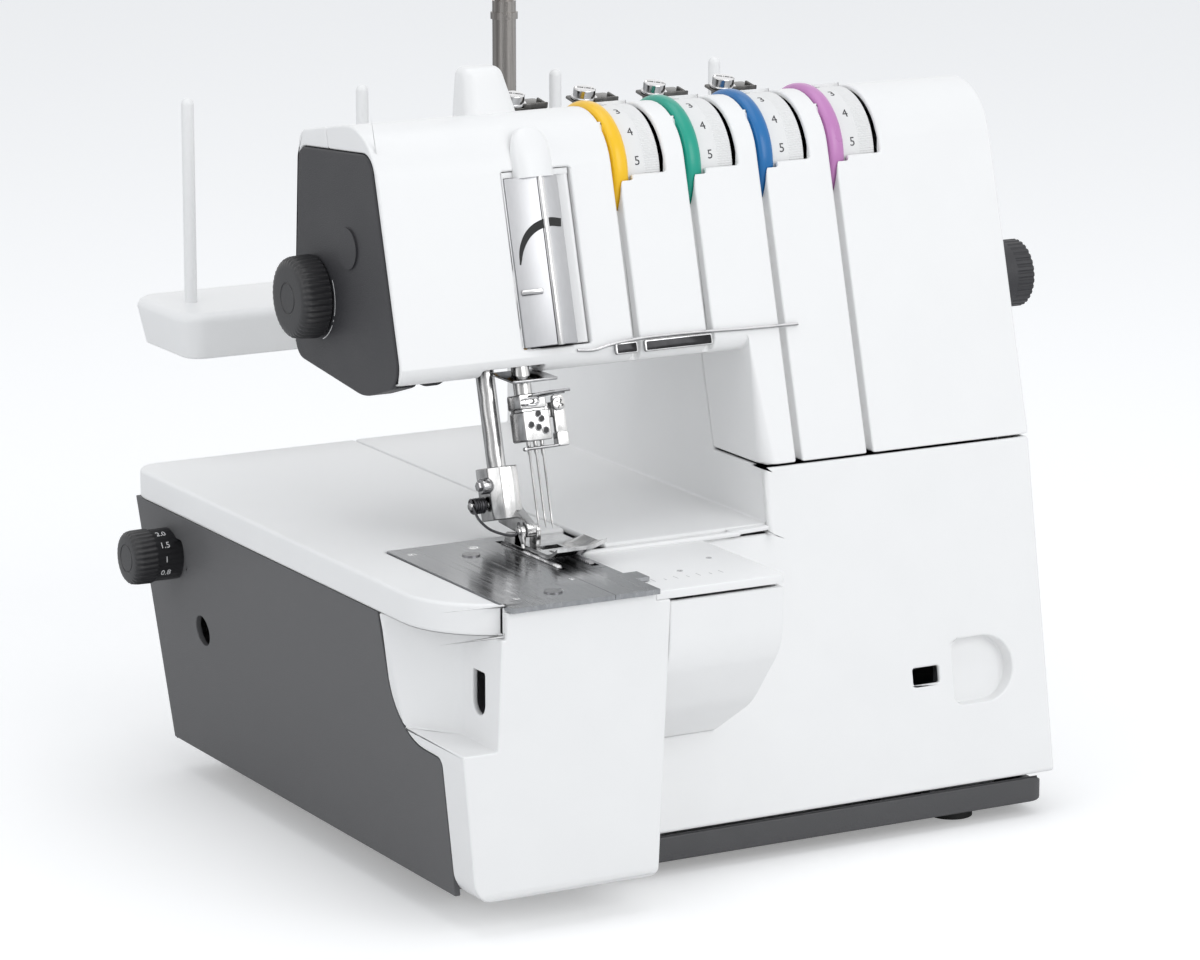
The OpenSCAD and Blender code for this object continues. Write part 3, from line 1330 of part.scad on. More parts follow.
// Front cover that slides right on its rod and folds down.
module cover_outer() {
    z1 = seam_z - cover_gap / 2;
    along_x(bulge_x0, tower_right, [[face_low(cover_z0), cover_z0, 1.5], [face_low(cover_z0) + 9, cover_z0, 0],
        [face_low(42) + cover_side_d, 42, 0], [face_low(z1) + cover_side_d, z1, 0], [face_low(z1), z1, 0]]);
}
thumb_x = tower_right - 30;
thumb_z = 64;
module on_low() {
    translate([0, face_low(thumb_z), thumb_z]) rotate([-lean_low, 0, 0]) children();
}
module thumb_outline(w) {
    hull() {
        translate([thumb_x, 0]) circle(r = 13.5 + w);
        translate([thumb_x - 11, 9.5]) circle(r = 4 + w);
        translate([thumb_x - 11, -9.5]) circle(r = 4 + w);
    }
}
module front_cover() {
    top_low = bed_h - wall - cover_gap;
    color("white") difference() {
        union() {
            difference() {
                cover_outer();
                along_x(bulge_x0 - 1, tower_right - wall, [[face_low(0) + wall, 0, 0], [face_low(0) + 60, 0, 0],
                    [face_low(200) + 60, 200, 0], [face_low(200) + wall, 200, 0]]);
            }
            along_x(bulge_x0, bulge_x1, bulge_c);
            on_low() rotate([90, 0, 0]) translate([0, 0, -9]) linear_extrude(8) thumb_outline(wall);
            for (x = ear_list) difference() {
                rod_x([x, cover_hinge_y, cover_hinge_z], 7.2, 5);
                rod_x([x - 1, cover_hinge_y, cover_hinge_z], cover_rod_d / 2 + 1.5 + run, 7);
            }
            for (x = ear_list)
                box([x, face_low(cover_hinge_z + 10) + 1, cover_hinge_z], [x + 5, cover_hinge_y - 5, cover_hinge_z + 10]);
        }
        along_x(bulge_x0 + wall, bulge_x1 - wall, [[face_low(58) + 3, 58, 6], [face_low(58) + 40, 58, 0],
            [face_low(bulge_top) + 40, bulge_top + 8, 0], [table_y0 + 1 + wall, bulge_top + 8, 0],
            [table_y0 + 1.5 + wall, bulge_top - 23.5, 24], [table_y0 + 26, 75.5, 38]]);
        // The cover ends below the table and the throat floor.
        box([bulge_x0 - 1, -300, bulge_top], [bulge_x1, 0, 300]);
        box([bulge_x1 - 1, -300, top_low], [tower_left - 0.5, 0, 300]);
        on_low() rotate([90, 0, 0]) translate([0, 0, -7]) linear_extrude(30) thumb_outline(0);
        // Window over the thread guide.
        on_low() box([thumb_x - 34.5, -5, -3], [thumb_x - 22, 10, 4]);
    }
}
ear_list = [bulge_x0 + 8, tower_left + 34, tower_right - 24];

// Rod on lugs of the tray, with the bushes that slide along it.
module cover_hinge_rod() {
    color("#a8a9ab") {
        rod_x([bulge_x0 + 3, cover_hinge_y, cover_hinge_z], cover_rod_d / 2, tower_right - 6 - bulge_x0);
        // The lugs reach the rod from behind, clear of the folding cover.
        for (x = [bulge_x0 + 24, tower_left + 50, tower_right - 52]) {
            box([x, cover_hinge_y + 9, foot_h + wall], [x + 4, cover_hinge_y + 12, cover_hinge_z + 2]);
            box([x, cover_hinge_y, cover_hinge_z - 2], [x + 4, cover_hinge_y + 9.5, cover_hinge_z + 2]);
        }
    }
}
module cover_bushes() {
    color("#d8d2c0") for (x = ear_list) {
        ring_x([x - 1.2, cover_hinge_y, cover_hinge_z], cover_rod_d / 2 + run, cover_rod_d / 2 + 1.5, 7.4);
        ring_x([x - 1.2, cover_hinge_y, cover_hinge_z], cover_rod_d / 2 + run, cover_rod_d / 2 + 3, 1);
        ring_x([x + 5.2, cover_hinge_y, cover_hinge_z], cover_rod_d / 2 + run, cover_rod_d / 2 + 3, 1);
    }
}

// Screws of the needle plate and of the back.
module case_screws() {
    color("#8d8f92") {
        for (y = [plate_y0 + 16, plate_y1 - 22]) {
            rod_z([plate_x0 + 26, y, bed_h - plate_t - 4], 2.1, plate_t + 3.6);
            rod_z([plate_x0 + 26, y, bed_h], 3.6, 0.5);
        }
        for (x = [tower_left + 20, tower_right - 20], z = [60, 140]) rod_y([x, back_y, z], 3.4, 1.4);
    }
}

base_tray();
rubber_feet();
bed_cover();
bed_side_panel();
bed_front_cover();
ruler_table();
front_shell();
rear_shell();
head_side_panel();
head_plug();
take_up_cover();
thread_strips();
top_post();
pretension_guides();
needle_plate();
slide_plate();
frame_casting();
shaft_bushes();
lower_thread_guides();
spool_stand();
spool_pins();
mast_tube();
mast_rod();
thread_guide_bar();
power_inlet();
power_switch();
lamp_lens();
motor();
motor_pulley();
drive_belts();
main_shaft();
handwheel();
arm_shaft();
tension_studs();
tension_springs();
case_screws();
dial_1();
dial_2();
dial_3();
dial_4();
dial_ring_1();
dial_ring_2();
dial_ring_3();
dial_ring_4();
needle_bar();
needle_clamp();
needles();
presser_bar();
foot_holder();
presser_foot();
foot_spring();
presser_lifter();
chain_looper();
feed_dogs();
pressure_dial();
feed_dial();
stitch_length_dial();
front_cover();
cover_hinge_rod();
cover_bushes();
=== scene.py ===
# %% [markdown]
# # A cover stitch machine of the serger family
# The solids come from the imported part, which carries the joints. This lesson dresses them: it puts rounded
# moulded shells over the plain ones, adds the small bright parts round the needles, and gives every piece a
# finish made of nodes. Lengths are in metres, X runs to the right, Y to the back and Z up.

# %% Load the frame
import math
import bpy
import numpy as np
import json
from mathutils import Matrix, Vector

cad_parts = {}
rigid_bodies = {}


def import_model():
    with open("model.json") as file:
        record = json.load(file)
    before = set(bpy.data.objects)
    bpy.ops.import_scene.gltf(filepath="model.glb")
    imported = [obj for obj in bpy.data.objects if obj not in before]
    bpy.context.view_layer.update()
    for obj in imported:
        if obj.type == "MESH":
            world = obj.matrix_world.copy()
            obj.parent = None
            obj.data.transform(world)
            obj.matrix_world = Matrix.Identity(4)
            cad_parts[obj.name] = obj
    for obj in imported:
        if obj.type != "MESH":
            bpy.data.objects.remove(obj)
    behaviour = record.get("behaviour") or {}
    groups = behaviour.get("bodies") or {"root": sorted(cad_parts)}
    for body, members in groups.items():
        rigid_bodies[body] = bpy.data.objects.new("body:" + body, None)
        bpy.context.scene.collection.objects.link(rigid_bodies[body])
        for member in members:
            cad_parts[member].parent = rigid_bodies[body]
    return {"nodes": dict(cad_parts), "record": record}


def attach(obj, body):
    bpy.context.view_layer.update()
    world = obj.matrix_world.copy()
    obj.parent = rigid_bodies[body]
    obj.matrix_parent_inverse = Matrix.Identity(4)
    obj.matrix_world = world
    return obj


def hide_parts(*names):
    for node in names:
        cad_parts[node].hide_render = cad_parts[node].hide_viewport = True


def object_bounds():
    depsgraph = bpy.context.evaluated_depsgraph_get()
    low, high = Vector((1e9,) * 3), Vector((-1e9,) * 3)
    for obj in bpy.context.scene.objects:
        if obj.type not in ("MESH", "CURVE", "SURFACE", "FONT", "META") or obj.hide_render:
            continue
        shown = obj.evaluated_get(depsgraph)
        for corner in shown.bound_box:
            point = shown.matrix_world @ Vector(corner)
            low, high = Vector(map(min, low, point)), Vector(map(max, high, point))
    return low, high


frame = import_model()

CAD_BOX = [list(corner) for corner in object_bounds()]
MM = 0.001
NODES = frame["nodes"]
scene = bpy.context.scene

# %% [markdown]
# ## Camera
# A long lens stands far back to the left and a little above, so the upright edges stay nearly parallel. Its
# direction is given by three unit vectors, which become the columns of the camera's matrix. That is steadier
# than typing three angles, whose order is easy to get wrong.

# %% Camera
from mathutils import Matrix, Vector

RIGHT = Vector((0.87420, -0.48557, 0.0))
UP = Vector((0.10758, 0.19368, 0.97516))
AHEAD = Vector((0.47350, 0.85248, -0.22155))
STANDPOINT = (-1.0055, -1.7873, 0.5962)

camera_data = bpy.data.cameras.new("camera")
camera_data.lens = 151.14
camera_data.sensor_width = 36.0
camera_data.clip_start, camera_data.clip_end = 0.1, 50.0
camera = bpy.data.objects.new("camera", camera_data)
turn = Matrix((RIGHT, UP, -AHEAD)).transposed().to_4x4()
camera.matrix_world = Matrix.Translation(STANDPOINT) @ turn
scene.collection.objects.link(camera)
scene.camera = camera
print("camera at", [round(v, 3) for v in camera.location])

# %% [markdown]
# ## Nodes by two helpers
# World, floor and finishes are all made of shader nodes. Written out, each node takes several lines that say
# little, so one helper makes a node with its sockets filled in, and another joins outputs to inputs.


# %% Helpers for nodes
def add_node(tree, kind, sockets=None, **settings):
    """New shader node of a kind. sockets holds input values by name or number, settings its own properties."""
    made = tree.nodes.new("ShaderNode" + kind)
    for setting, value in settings.items():
        setattr(made, setting, value)
    for socket, value in (sockets or {}).items():
        made.inputs[socket].default_value = value
    return made


def wire(tree, *pairs):
    """Joins the output to the input in each pair."""
    for output, entry in pairs:
        tree.links.new(output, entry)


print("node helpers ready")

# %% [markdown]
# ## World
# The world gives an even fill, a little cool. Rays that come straight from the camera, from a gloss or through
# glass see plain white instead, so the background is white with no extra lamp power on the object.

# %% World
world = bpy.data.worlds.new("studio")
scene.world = world
world.use_nodes = True
tree = world.node_tree
tree.nodes.clear()
fill = add_node(tree, "Background", {"Color": (0.93, 0.96, 1.0, 1), "Strength": 0.64})
seen = add_node(tree, "Background", {"Color": (1, 1, 1, 1), "Strength": 1.0})
path = add_node(tree, "LightPath")
either = add_node(tree, "Math", operation="MAXIMUM")
any_of = add_node(tree, "Math", operation="MAXIMUM")
mix = add_node(tree, "MixShader")
out = add_node(tree, "OutputWorld")
wire(tree, (path.outputs["Is Camera Ray"], either.inputs[0]),
     (path.outputs["Is Transmission Ray"], either.inputs[1]),
     (either.outputs[0], any_of.inputs[0]), (path.outputs["Is Glossy Ray"], any_of.inputs[1]),
     (any_of.outputs[0], mix.inputs["Fac"]), (fill.outputs[0], mix.inputs[1]),
     (seen.outputs[0], mix.inputs[2]), (mix.outputs[0], out.inputs["Surface"]))
print("world nodes:", len(tree.nodes))

# %% [markdown]
# ## Lamps
# A product table is lit by wide soft lamps. Sun or point lamps would draw hard shadows, so three rectangular
# area lamps stand round the machine: the key in front, a weak one above and the weakest on the left.


# %% Lamps
def soft_lamp(name, where, size, power, target=(0, -0.03, 0.17)):
    """A rectangular area lamp at a point, facing the target."""
    data = bpy.data.lights.new(name, "AREA")
    data.shape = "RECTANGLE"
    data.size, data.size_y = size
    data.energy = power
    lamp = bpy.data.objects.new(name, data)
    lamp.location = where
    lamp.rotation_euler = (Vector(target) - Vector(where)).to_track_quat("-Z", "Y").to_euler()
    scene.collection.objects.link(lamp)


soft_lamp("key_front", (0.35, -2.0, 1.1), (1.6, 1.3), 14)
soft_lamp("top", (-0.1, 0.0, 1.9), (1.8, 1.5), 8)
soft_lamp("left", (-1.9, -0.2, 0.9), (1.2, 1.2), 5)

# %% [markdown]
# ## Floor
# The floor is a pale sheet. It shows the shadow, and adds a little of its own white for the camera alone.

# %% Floor
FLOOR = 4.0
CAMERA_GLOW = 0.27
mesh = bpy.data.meshes.new("floor")
mesh.from_pydata([(-FLOOR, -FLOOR, 0), (FLOOR, -FLOOR, 0), (FLOOR, FLOOR, 0), (-FLOOR, FLOOR, 0)],
                 [], [(0, 1, 2, 3)])
floor = bpy.data.objects.new("floor", mesh)
scene.collection.objects.link(floor)
paper = bpy.data.materials.new("paper_floor")
paper.use_nodes = True
tree = paper.node_tree
bsdf = tree.nodes["Principled BSDF"]
bsdf.inputs["Base Color"].default_value = (0.86, 0.86, 0.86, 1)
bsdf.inputs["Roughness"].default_value = 0.9
bsdf.inputs["Specular IOR Level"].default_value = 0.1
path = add_node(tree, "LightPath")
amount = add_node(tree, "Math", {1: CAMERA_GLOW}, operation="MULTIPLY")
glow = add_node(tree, "Emission")
both = add_node(tree, "AddShader")
wire(tree, (path.outputs["Is Camera Ray"], amount.inputs[0]), (amount.outputs[0], glow.inputs["Strength"]),
     (bsdf.outputs[0], both.inputs[0]), (glow.outputs[0], both.inputs[1]),
     (both.outputs[0], tree.nodes["Material Output"].inputs["Surface"]))
floor.data.materials.append(paper)
scene.view_settings.view_transform = "Standard"
print("floor:", floor.name, "glow:", CAMERA_GLOW)

# %% [markdown]
# ## Finishes
# Every finish is one Principled shader whose colour, roughness and bump are stirred by noise on Object
# coordinates. Moulded plastic has a faint mottle, textured plastic a fine grain, and metal a stretched noise
# that reads as brush marks, on the needle plate also as painted reflection streaks. The scales count waves per
# metre, so each noise has its real size. An image texture would show seams and bring its own light, which noise does
# not.


# %% One recipe for all finishes
FINISH = {}
NOISE_LOW, NOISE_HIGH = 0.3, 0.7


def finish(name, color, rough, metal=0.0, spread=0.04, scale=(40, 40, 40), bump=0.0, bump_scale=900.0,
           shade=0.03, coat=0.0):
    """Principled finish: colour c (1 -/+ shade) by noise, roughness -/+ spread by noise, bump by fine noise."""
    mat = bpy.data.materials.new(name)
    mat.use_nodes = True
    tree = mat.node_tree
    bsdf = tree.nodes["Principled BSDF"]
    for socket, value in (("Metallic", metal), ("Coat Weight", coat), ("Coat Roughness", 0.08)):
        bsdf.inputs[socket].default_value = value
    coord = add_node(tree, "TexCoord")
    stretch = add_node(tree, "Mapping", {"Scale": scale})
    noise = add_node(tree, "TexNoise", {"Scale": 1.0, "Detail": 4.0})
    tint = add_node(tree, "ValToRGB")
    ends = tint.color_ramp.elements
    ends[0].position, ends[1].position = NOISE_LOW, NOISE_HIGH
    for element, k in zip(ends, (1 - shade, 1 + shade)):
        element.color = [min(c * k, 1) for c in color] + [1]
    spanned = add_node(tree, "MapRange", {"From Min": NOISE_LOW, "From Max": NOISE_HIGH,
                                          "To Min": rough - spread, "To Max": rough + spread})
    wire(tree, (coord.outputs["Object"], stretch.inputs["Vector"]),
         (stretch.outputs["Vector"], noise.inputs["Vector"]), (noise.outputs["Fac"], tint.inputs["Fac"]),
         (noise.outputs["Fac"], spanned.inputs["Value"]), (tint.outputs["Color"], bsdf.inputs["Base Color"]),
         (spanned.outputs["Result"], bsdf.inputs["Roughness"]))
    if bump:
        fine = add_node(tree, "TexNoise", {"Scale": bump_scale, "Detail": 3.0})
        height = add_node(tree, "Bump", {"Strength": bump, "Distance": 0.0004})
        wire(tree, (coord.outputs["Object"], fine.inputs["Vector"]), (fine.outputs["Fac"], height.inputs["Height"]),
             (height.outputs["Normal"], bsdf.inputs["Normal"]))
    FINISH[name] = mat
    return mat


print("noise is read from", NOISE_LOW, "to", NOISE_HIGH)

# %% [markdown]
# ## Bright metals with painted reflections
# Polished metal shows its surroundings, and round a product those are black and white cards. In an all white
# room a mirror looks like paper. So a painted reflection goes into the colour itself: it runs through dark and
# light bands with the way a face points, which stays in place from every side, and noise breaks the bands up.


# %% Recipe for bright metals with painted reflections
PAINTED_REFLECTION_AIM = (0.34, -0.62, 0.70)
PAINTED_REFLECTION_BANDS = ((0.0, 0.35), (0.22, 0.0), (0.38, 0.55), (0.5, 0.12), (0.62, 0.75), (0.74, 0.42), (0.88, 1.0))


def bright_metal(name, dark, light, rough, scale, spread=0.05, contrast=0.35):
    """Metal with a painted reflection: colour dark to light with the way a face points, stirred by stretched noise.
    The mix is t = 0.5 + 0.5 n . q + contrast (noise - 0.5), with n the object's own normal and q the direction
    PAINTED_REFLECTION_AIM."""
    tree = finish(name, light, rough, 1.0, spread, scale, shade=0.05).node_tree
    coord, noise, ramp = tree.nodes["Texture Coordinate"], tree.nodes["Noise Texture"], tree.nodes["Color Ramp"]
    aim = add_node(tree, "VectorMath", {1: PAINTED_REFLECTION_AIM}, operation="DOT_PRODUCT")
    half = add_node(tree, "Math", {1: 0.5, 2: 0.5 - contrast / 2}, operation="MULTIPLY_ADD")
    stir = add_node(tree, "Math", {1: contrast}, operation="MULTIPLY_ADD")
    wire(tree, (coord.outputs["Normal"], aim.inputs[0]), (aim.outputs["Value"], half.inputs[0]),
         (noise.outputs["Fac"], stir.inputs[0]), (half.outputs[0], stir.inputs[2]),
         (stir.outputs[0], ramp.inputs["Fac"]))
    stops = ramp.color_ramp.elements
    while len(stops) > 1:
        stops.remove(stops[-1])
    for i, (where, k) in enumerate(PAINTED_REFLECTION_BANDS):
        element = stops[0] if i == 0 else stops.new(where)
        element.position = where
        element.color = [a + (b - a) * k for a, b in zip(dark, light)] + [1]


print("bands in a bright metal:", len(PAINTED_REFLECTION_BANDS))

# %% [markdown]
# ## The finishes of this machine
# White, dark and grey mouldings, four glossy rings, bright and dark metals, rubber, ink and the bare metals
# inside. Each line gives a colour, a roughness and how much the noise stirs them.

# %% Plastics, rubber and ink
GRAIN = dict(bump=0.35, bump_scale=1800)
SMOOTH = dict(bump=0.04, bump_scale=1400)
finish("moulded_white", (0.88, 0.88, 0.877), 0.34, bump=0.05, bump_scale=1200, shade=0.008)
finish("grained_dark", (0.030, 0.030, 0.034), 0.5, shade=0.06, **GRAIN)
finish("grained_grey", (0.105, 0.105, 0.108), 0.55, shade=0.05, **GRAIN)
finish("grained_tray", (0.068, 0.068, 0.071), 0.55, shade=0.05, **GRAIN)
finish("black_plastic", (0.02, 0.02, 0.022), 0.4, bump=0.15, bump_scale=1500, shade=0.08)
finish("black_rubber", (0.018, 0.018, 0.018), 0.75, bump=0.3, bump_scale=800, shade=0.1)
finish("dial_white", (0.80, 0.80, 0.795), 0.36, bump=0.05, bump_scale=1400, shade=0.01)
for name, color in (("ring_yellow", (0.93, 0.55, 0.005)), ("ring_green", (0.0, 0.33, 0.235)),
                    ("ring_blue", (0.0, 0.14, 0.40)), ("ring_lilac", (0.54, 0.22, 0.50))):
    finish(name, color, 0.3, shade=0.03, coat=0.1, **SMOOTH)
finish("nylon", (0.72, 0.68, 0.58), 0.45, 0.0, 0.05, (150, 150, 150), 0.1, 900, 0.04)
finish("frosted_lens", (0.82, 0.85, 0.9), 0.3, bump=0.1, bump_scale=1500, shade=0.03, coat=0.2)
finish("motor_paint", (0.08, 0.085, 0.09), 0.42, 0.0, 0.05, (150, 150, 150), 0.2, 700, 0.06)
finish("mark_grey", (0.45, 0.45, 0.45), 0.5, spread=0.05, scale=(900, 900, 900), shade=0.05)
finish("ink", (0.04, 0.04, 0.045), 0.5, spread=0.05, scale=(900, 900, 900), shade=0.1)
finish("ink_white", (0.8, 0.8, 0.8), 0.5, spread=0.05, scale=(900, 900, 900), shade=0.05)
print("plastics, rubber and inks:", len(FINISH))

# %% Metals
# Dark, strongly mottled nickel of the guide plates: painted dark reflections and reflection spots.
finish("dark_nickel", (0.11, 0.108, 0.105), 0.16, 1.0, 0.05, (350, 350, 350), shade=0.35)
# Near black mirror: a painted dark reflection.
finish("mirror_dark", (0.035, 0.035, 0.037), 0.12, 1.0, 0.04, (250, 250, 250), shade=0.2)
finish("silver_panel", (0.50, 0.505, 0.52), 0.32, 0.85, 0.03, (900, 900, 60), shade=0.02)
# The plate's darker colour and stretched noise are brush marks and painted reflection streaks at once.
finish("brushed_plate_painted_streaks", (0.34, 0.348, 0.36), 0.22, 1.0, 0.07, (700, 14, 400), shade=0.12)
finish("ground_steel", (0.30, 0.30, 0.31), 0.3, 1.0, 0.08, (60, 900, 900), shade=0.12)
finish("dark_steel", (0.07, 0.07, 0.075), 0.3, 1.0, 0.06, (300, 300, 300), shade=0.1)
finish("cast_alloy", (0.5, 0.51, 0.52), 0.5, 0.9, 0.08, (90, 90, 90), 0.5, 500, 0.08)
finish("sinter_bronze", (0.45, 0.29, 0.13), 0.42, 1.0, 0.08, (400, 400, 400), 0.2, 2500, 0.1)
# These four metals carry painted reflection bands in their colour.
bright_metal("bright_plated", (0.10, 0.10, 0.10), (0.80, 0.80, 0.81), 0.16, (90, 90, 40))
bright_metal("dark_chrome", (0.035, 0.035, 0.037), (0.55, 0.55, 0.56), 0.14, (120, 120, 120), contrast=0.5)
bright_metal("satin_mast", (0.09, 0.082, 0.078), (0.42, 0.40, 0.38), 0.30, (900, 900, 30), contrast=0.15)
bright_metal("polished_steel", (0.05, 0.05, 0.052), (0.72, 0.72, 0.72), 0.2, (160, 160, 90))
print("finishes:", len(FINISH))

# %% [markdown]
# ## Dressing the solids
# The record names a material slot for each solid. A table turns the slot into a finish, so a solid that gets no
# piece of its own, such as a shaft or a belt, is dressed as well.

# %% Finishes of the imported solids
BY_SLOT = {"white_shell": "moulded_white", "dark_panel": "grained_dark", "grey_panel": "grained_grey",
           "foot_rubber": "black_rubber", "bright_sheet": "bright_plated", "guide_steel": "satin_mast",
           "plate_steel": "brushed_plate_painted_streaks", "casting": "cast_alloy", "bronze": "sinter_bronze",
           "shaft_steel": "ground_steel", "spring_steel": "dark_steel", "lamp": "frosted_lens",
           "pulley_metal": "ground_steel", "bush_nylon": "nylon"}
SLOT_OF = {s["node"]: s["material_slot"] for s in frame["record"]["subparts"]}
BODY_OF = {n: b for b, ns in frame["record"]["behaviour"]["bodies"].items() for n in ns}


def slot_finish(slot):
    """Finish of a slot: the table's, or else the finish that has the slot's own name."""
    return FINISH[BY_SLOT.get(slot, slot)]


for node, ob in NODES.items():
    ob.data.materials.clear()
    ob.data.materials.append(slot_finish(SLOT_OF[node]))
print("dressed solids:", len(NODES))

# %% [markdown]
# ## Moulded shells
# The white shells are injection mouldings, so none of their edges is knife sharp. Their walls, slots and
# channels are already right in the solids. A copy of each solid is welded, its flat faces are joined, and a
# Bevel modifier rolls every sharp edge over by the moulding's own radius. Two shells also have a larger
# rounding on one upright corner, which is made first.

# %% Rounded copies of moulded solids
import bmesh

WELD = 2e-6
UPRIGHT_MIN = 0.005
ON_CORNER = 3e-5


def smooth(mesh):
    """Shades all faces of a mesh smooth."""
    for face in mesh.polygons:
        face.use_smooth = True


def link(name, mesh, body, node):
    """Object that rides on a body and takes a node's place if one is named."""
    ob = bpy.data.objects.new(name, mesh)
    scene.collection.objects.link(ob)
    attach(ob, body)
    if node:
        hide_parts(node)
    return ob


def rounded_copy(name, node, radius, flat, look, corner=None, segments=3, angle=24):
    """Copy of a solid with its edges sharper than angle rolled over by radius. Flat faces within flat degrees
    join. corner = (x, y_max, r) first rounds the long upright edges at x, in front of y_max, by r."""
    bm = bmesh.new()
    bm.from_mesh(NODES[node].data)
    bmesh.ops.remove_doubles(bm, verts=bm.verts, dist=WELD)
    bmesh.ops.dissolve_limit(bm, angle_limit=math.radians(flat), verts=bm.verts, edges=bm.edges)
    if corner:
        x, y_max, r = corner
        upright = [e for e in bm.edges if all(abs(v.co.x - x) < ON_CORNER and v.co.y < y_max for v in e.verts)
                   and abs(e.verts[0].co.z - e.verts[1].co.z) > UPRIGHT_MIN]
        print(name, "upright corner edges:", len(upright))
        bmesh.ops.bevel(bm, geom=upright, offset=r, segments=8, affect="EDGES", profile=0.5, clamp_overlap=False)
    mesh = bpy.data.meshes.new(name)
    bm.to_mesh(mesh)
    bm.free()
    mesh.materials.clear()
    mesh.materials.append(look)
    smooth(mesh)
    ob = link(name, mesh, BODY_OF[node], node)
    roll = ob.modifiers.new("edge", "BEVEL")
    roll.width, roll.segments = radius, segments
    roll.limit_method, roll.angle_limit = "ANGLE", math.radians(angle)
    roll.use_clamp_overlap = False
    roll.miter_outer = "MITER_ARC"
    even = ob.modifiers.new("shade", "WEIGHTED_NORMAL")
    even.keep_sharp = True
    return ob


SHELLS = {"front_shell": 0.9, "rear_shell": 1.0, "bed_cover": 1.6, "bed_front_cover": 0.8,
          "front_cover": 0.9, "head_side_panel": 0.8, "bed_side_panel": 0.4, "base_tray": 0.8}
CORNERS = {"front_shell": (0.005, -0.088, 0.0072), "front_cover": (0.0045, -0.100, 0.0023)}
FLATNESS = {"front_cover": 0.05}
LOOKS = {"base_tray": FINISH["grained_tray"]}
for node, radius in SHELLS.items():
    look = LOOKS.get(node, slot_finish(SLOT_OF[node]))
    made = rounded_copy(node + "_moulding", node, radius * MM, FLATNESS.get(node, 0.6), look, CORNERS.get(node))
    print(made.name, len(made.data.polygons), "faces before the edges roll")

# %% [markdown]
# ## Shapes made from rows of points
# The small bright parts and the dials are made here. Each one is a grid of points: a closed outline is carried
# along a path, or turned round an axis, and neighbouring rows are joined by four sided faces. Whole arrays
# are worked out at once, which is quick and gives each surface a formula. Lengths are typed in millimetres.


# %% Rows of points to a mesh
def closed_rows(rows):
    """(points, faces) of a capped grid rows[u, v]. Face (u, v) joins (u, v), (u, v + 1), (u + 1, v + 1) and
    (u + 1, v), and v runs round."""
    rows = np.asarray(rows, float)
    nu, nv = rows.shape[:2]
    u, v = np.meshgrid(np.arange(nu - 1), np.arange(nv), indexing="ij")
    w = (v + 1) % nv
    faces = np.stack([u * nv + v, u * nv + w, (u + 1) * nv + w, (u + 1) * nv + v], -1).reshape(-1, 4).tolist()
    return rows.reshape(-1, 3), faces + [list(range(nv))[::-1], list(range((nu - 1) * nv, nu * nv))]


def solid(name, points, faces, body, look, slot=None, instead=None, crease=35):
    """Object from points in mm and faces, with outward normals, that rides on one body. It takes the place of
    the node instead, and edges sharper than crease degrees stay sharp."""
    mesh = bpy.data.meshes.new(name)
    mesh.from_pydata((np.asarray(points) * MM).tolist(), [], faces)
    bm = bmesh.new()
    bm.from_mesh(mesh)
    bmesh.ops.remove_doubles(bm, verts=bm.verts, dist=1e-6)
    bmesh.ops.recalc_face_normals(bm, faces=bm.faces)
    bm.to_mesh(mesh)
    bm.free()
    smooth(mesh)
    mesh.set_sharp_from_angle(angle=math.radians(crease))
    mesh.materials.append(FINISH[look])
    return link(name, mesh, body, instead)


def piece(name, rows, *place, **more):
    """Object from one grid of rows."""
    return solid(name, *closed_rows(rows), *place, **more)


def joined(name, parts, *place, **more):
    """One object from several (points, faces) solids."""
    points, faces, base = [], [], 0
    for p, f in parts:
        points.append(np.asarray(p, float).reshape(-1, 3))
        faces += [[base + i for i in face] for face in f]
        base += len(points[-1])
    return solid(name, np.concatenate(points), faces, *place, **more)


points, faces = closed_rows(np.zeros((3, 4, 3)))
print("a grid of 3 rows of 4 points has", len(faces), "faces, its two caps included")

# %% [markdown]
# ## Outlines and plates
# Most machined and stamped parts are a flat outline with rounded corners and a thickness with soft edges. The
# arcs are found from the corner's two sides, so the same few numbers as on a drawing are enough.


# %% Outlines and plates
def outline(corners, n=6):
    """Closed outline from [x, y, r] corners. The arc at p has centre p + r (a + b) / (|a + b| sin h), with a and
    b the unit sides that leave p, and h half the angle between them."""
    c = np.array(corners, float)
    points = []
    for i in range(len(c)):
        p, r = c[i, :2], max(c[i, 2], 1e-3)
        a, b = c[i - 1, :2] - p, c[(i + 1) % len(c), :2] - p
        a, b = a / np.linalg.norm(a), b / np.linalg.norm(b)
        h = math.acos(np.clip(a @ b, -1, 1)) / 2
        centre = p + (a + b) / np.linalg.norm(a + b) * r / math.sin(h)
        s, e = p + a * r / math.tan(h) - centre, p + b * r / math.tan(h) - centre
        turn = math.atan2(s[0] * e[1] - s[1] * e[0], s @ e)
        t = turn * np.linspace(0, 1, n)[:, None]
        points.append(centre + s * np.cos(t) + np.array([-s[1], s[0]]) * np.sin(t))
    return np.concatenate(points)


def rectangle(x0, x1, y0, y1, r, n=6):
    """Outline of a rectangle. r is one corner radius, or four that start at (x0, y0) and go round."""
    return outline(np.column_stack([[x0, x1, x1, x0], [y0, y0, y1, y1], np.broadcast_to(r, 4)]), n)


def anticlockwise(p):
    """The outline, turned round if the shoelace sum of x0 y1 - x1 y0 is negative."""
    q = np.roll(p, -1, 0)
    return p[::-1] if (p[:, 0] * q[:, 1] - p[:, 1] * q[:, 0]).sum() < 0 else p


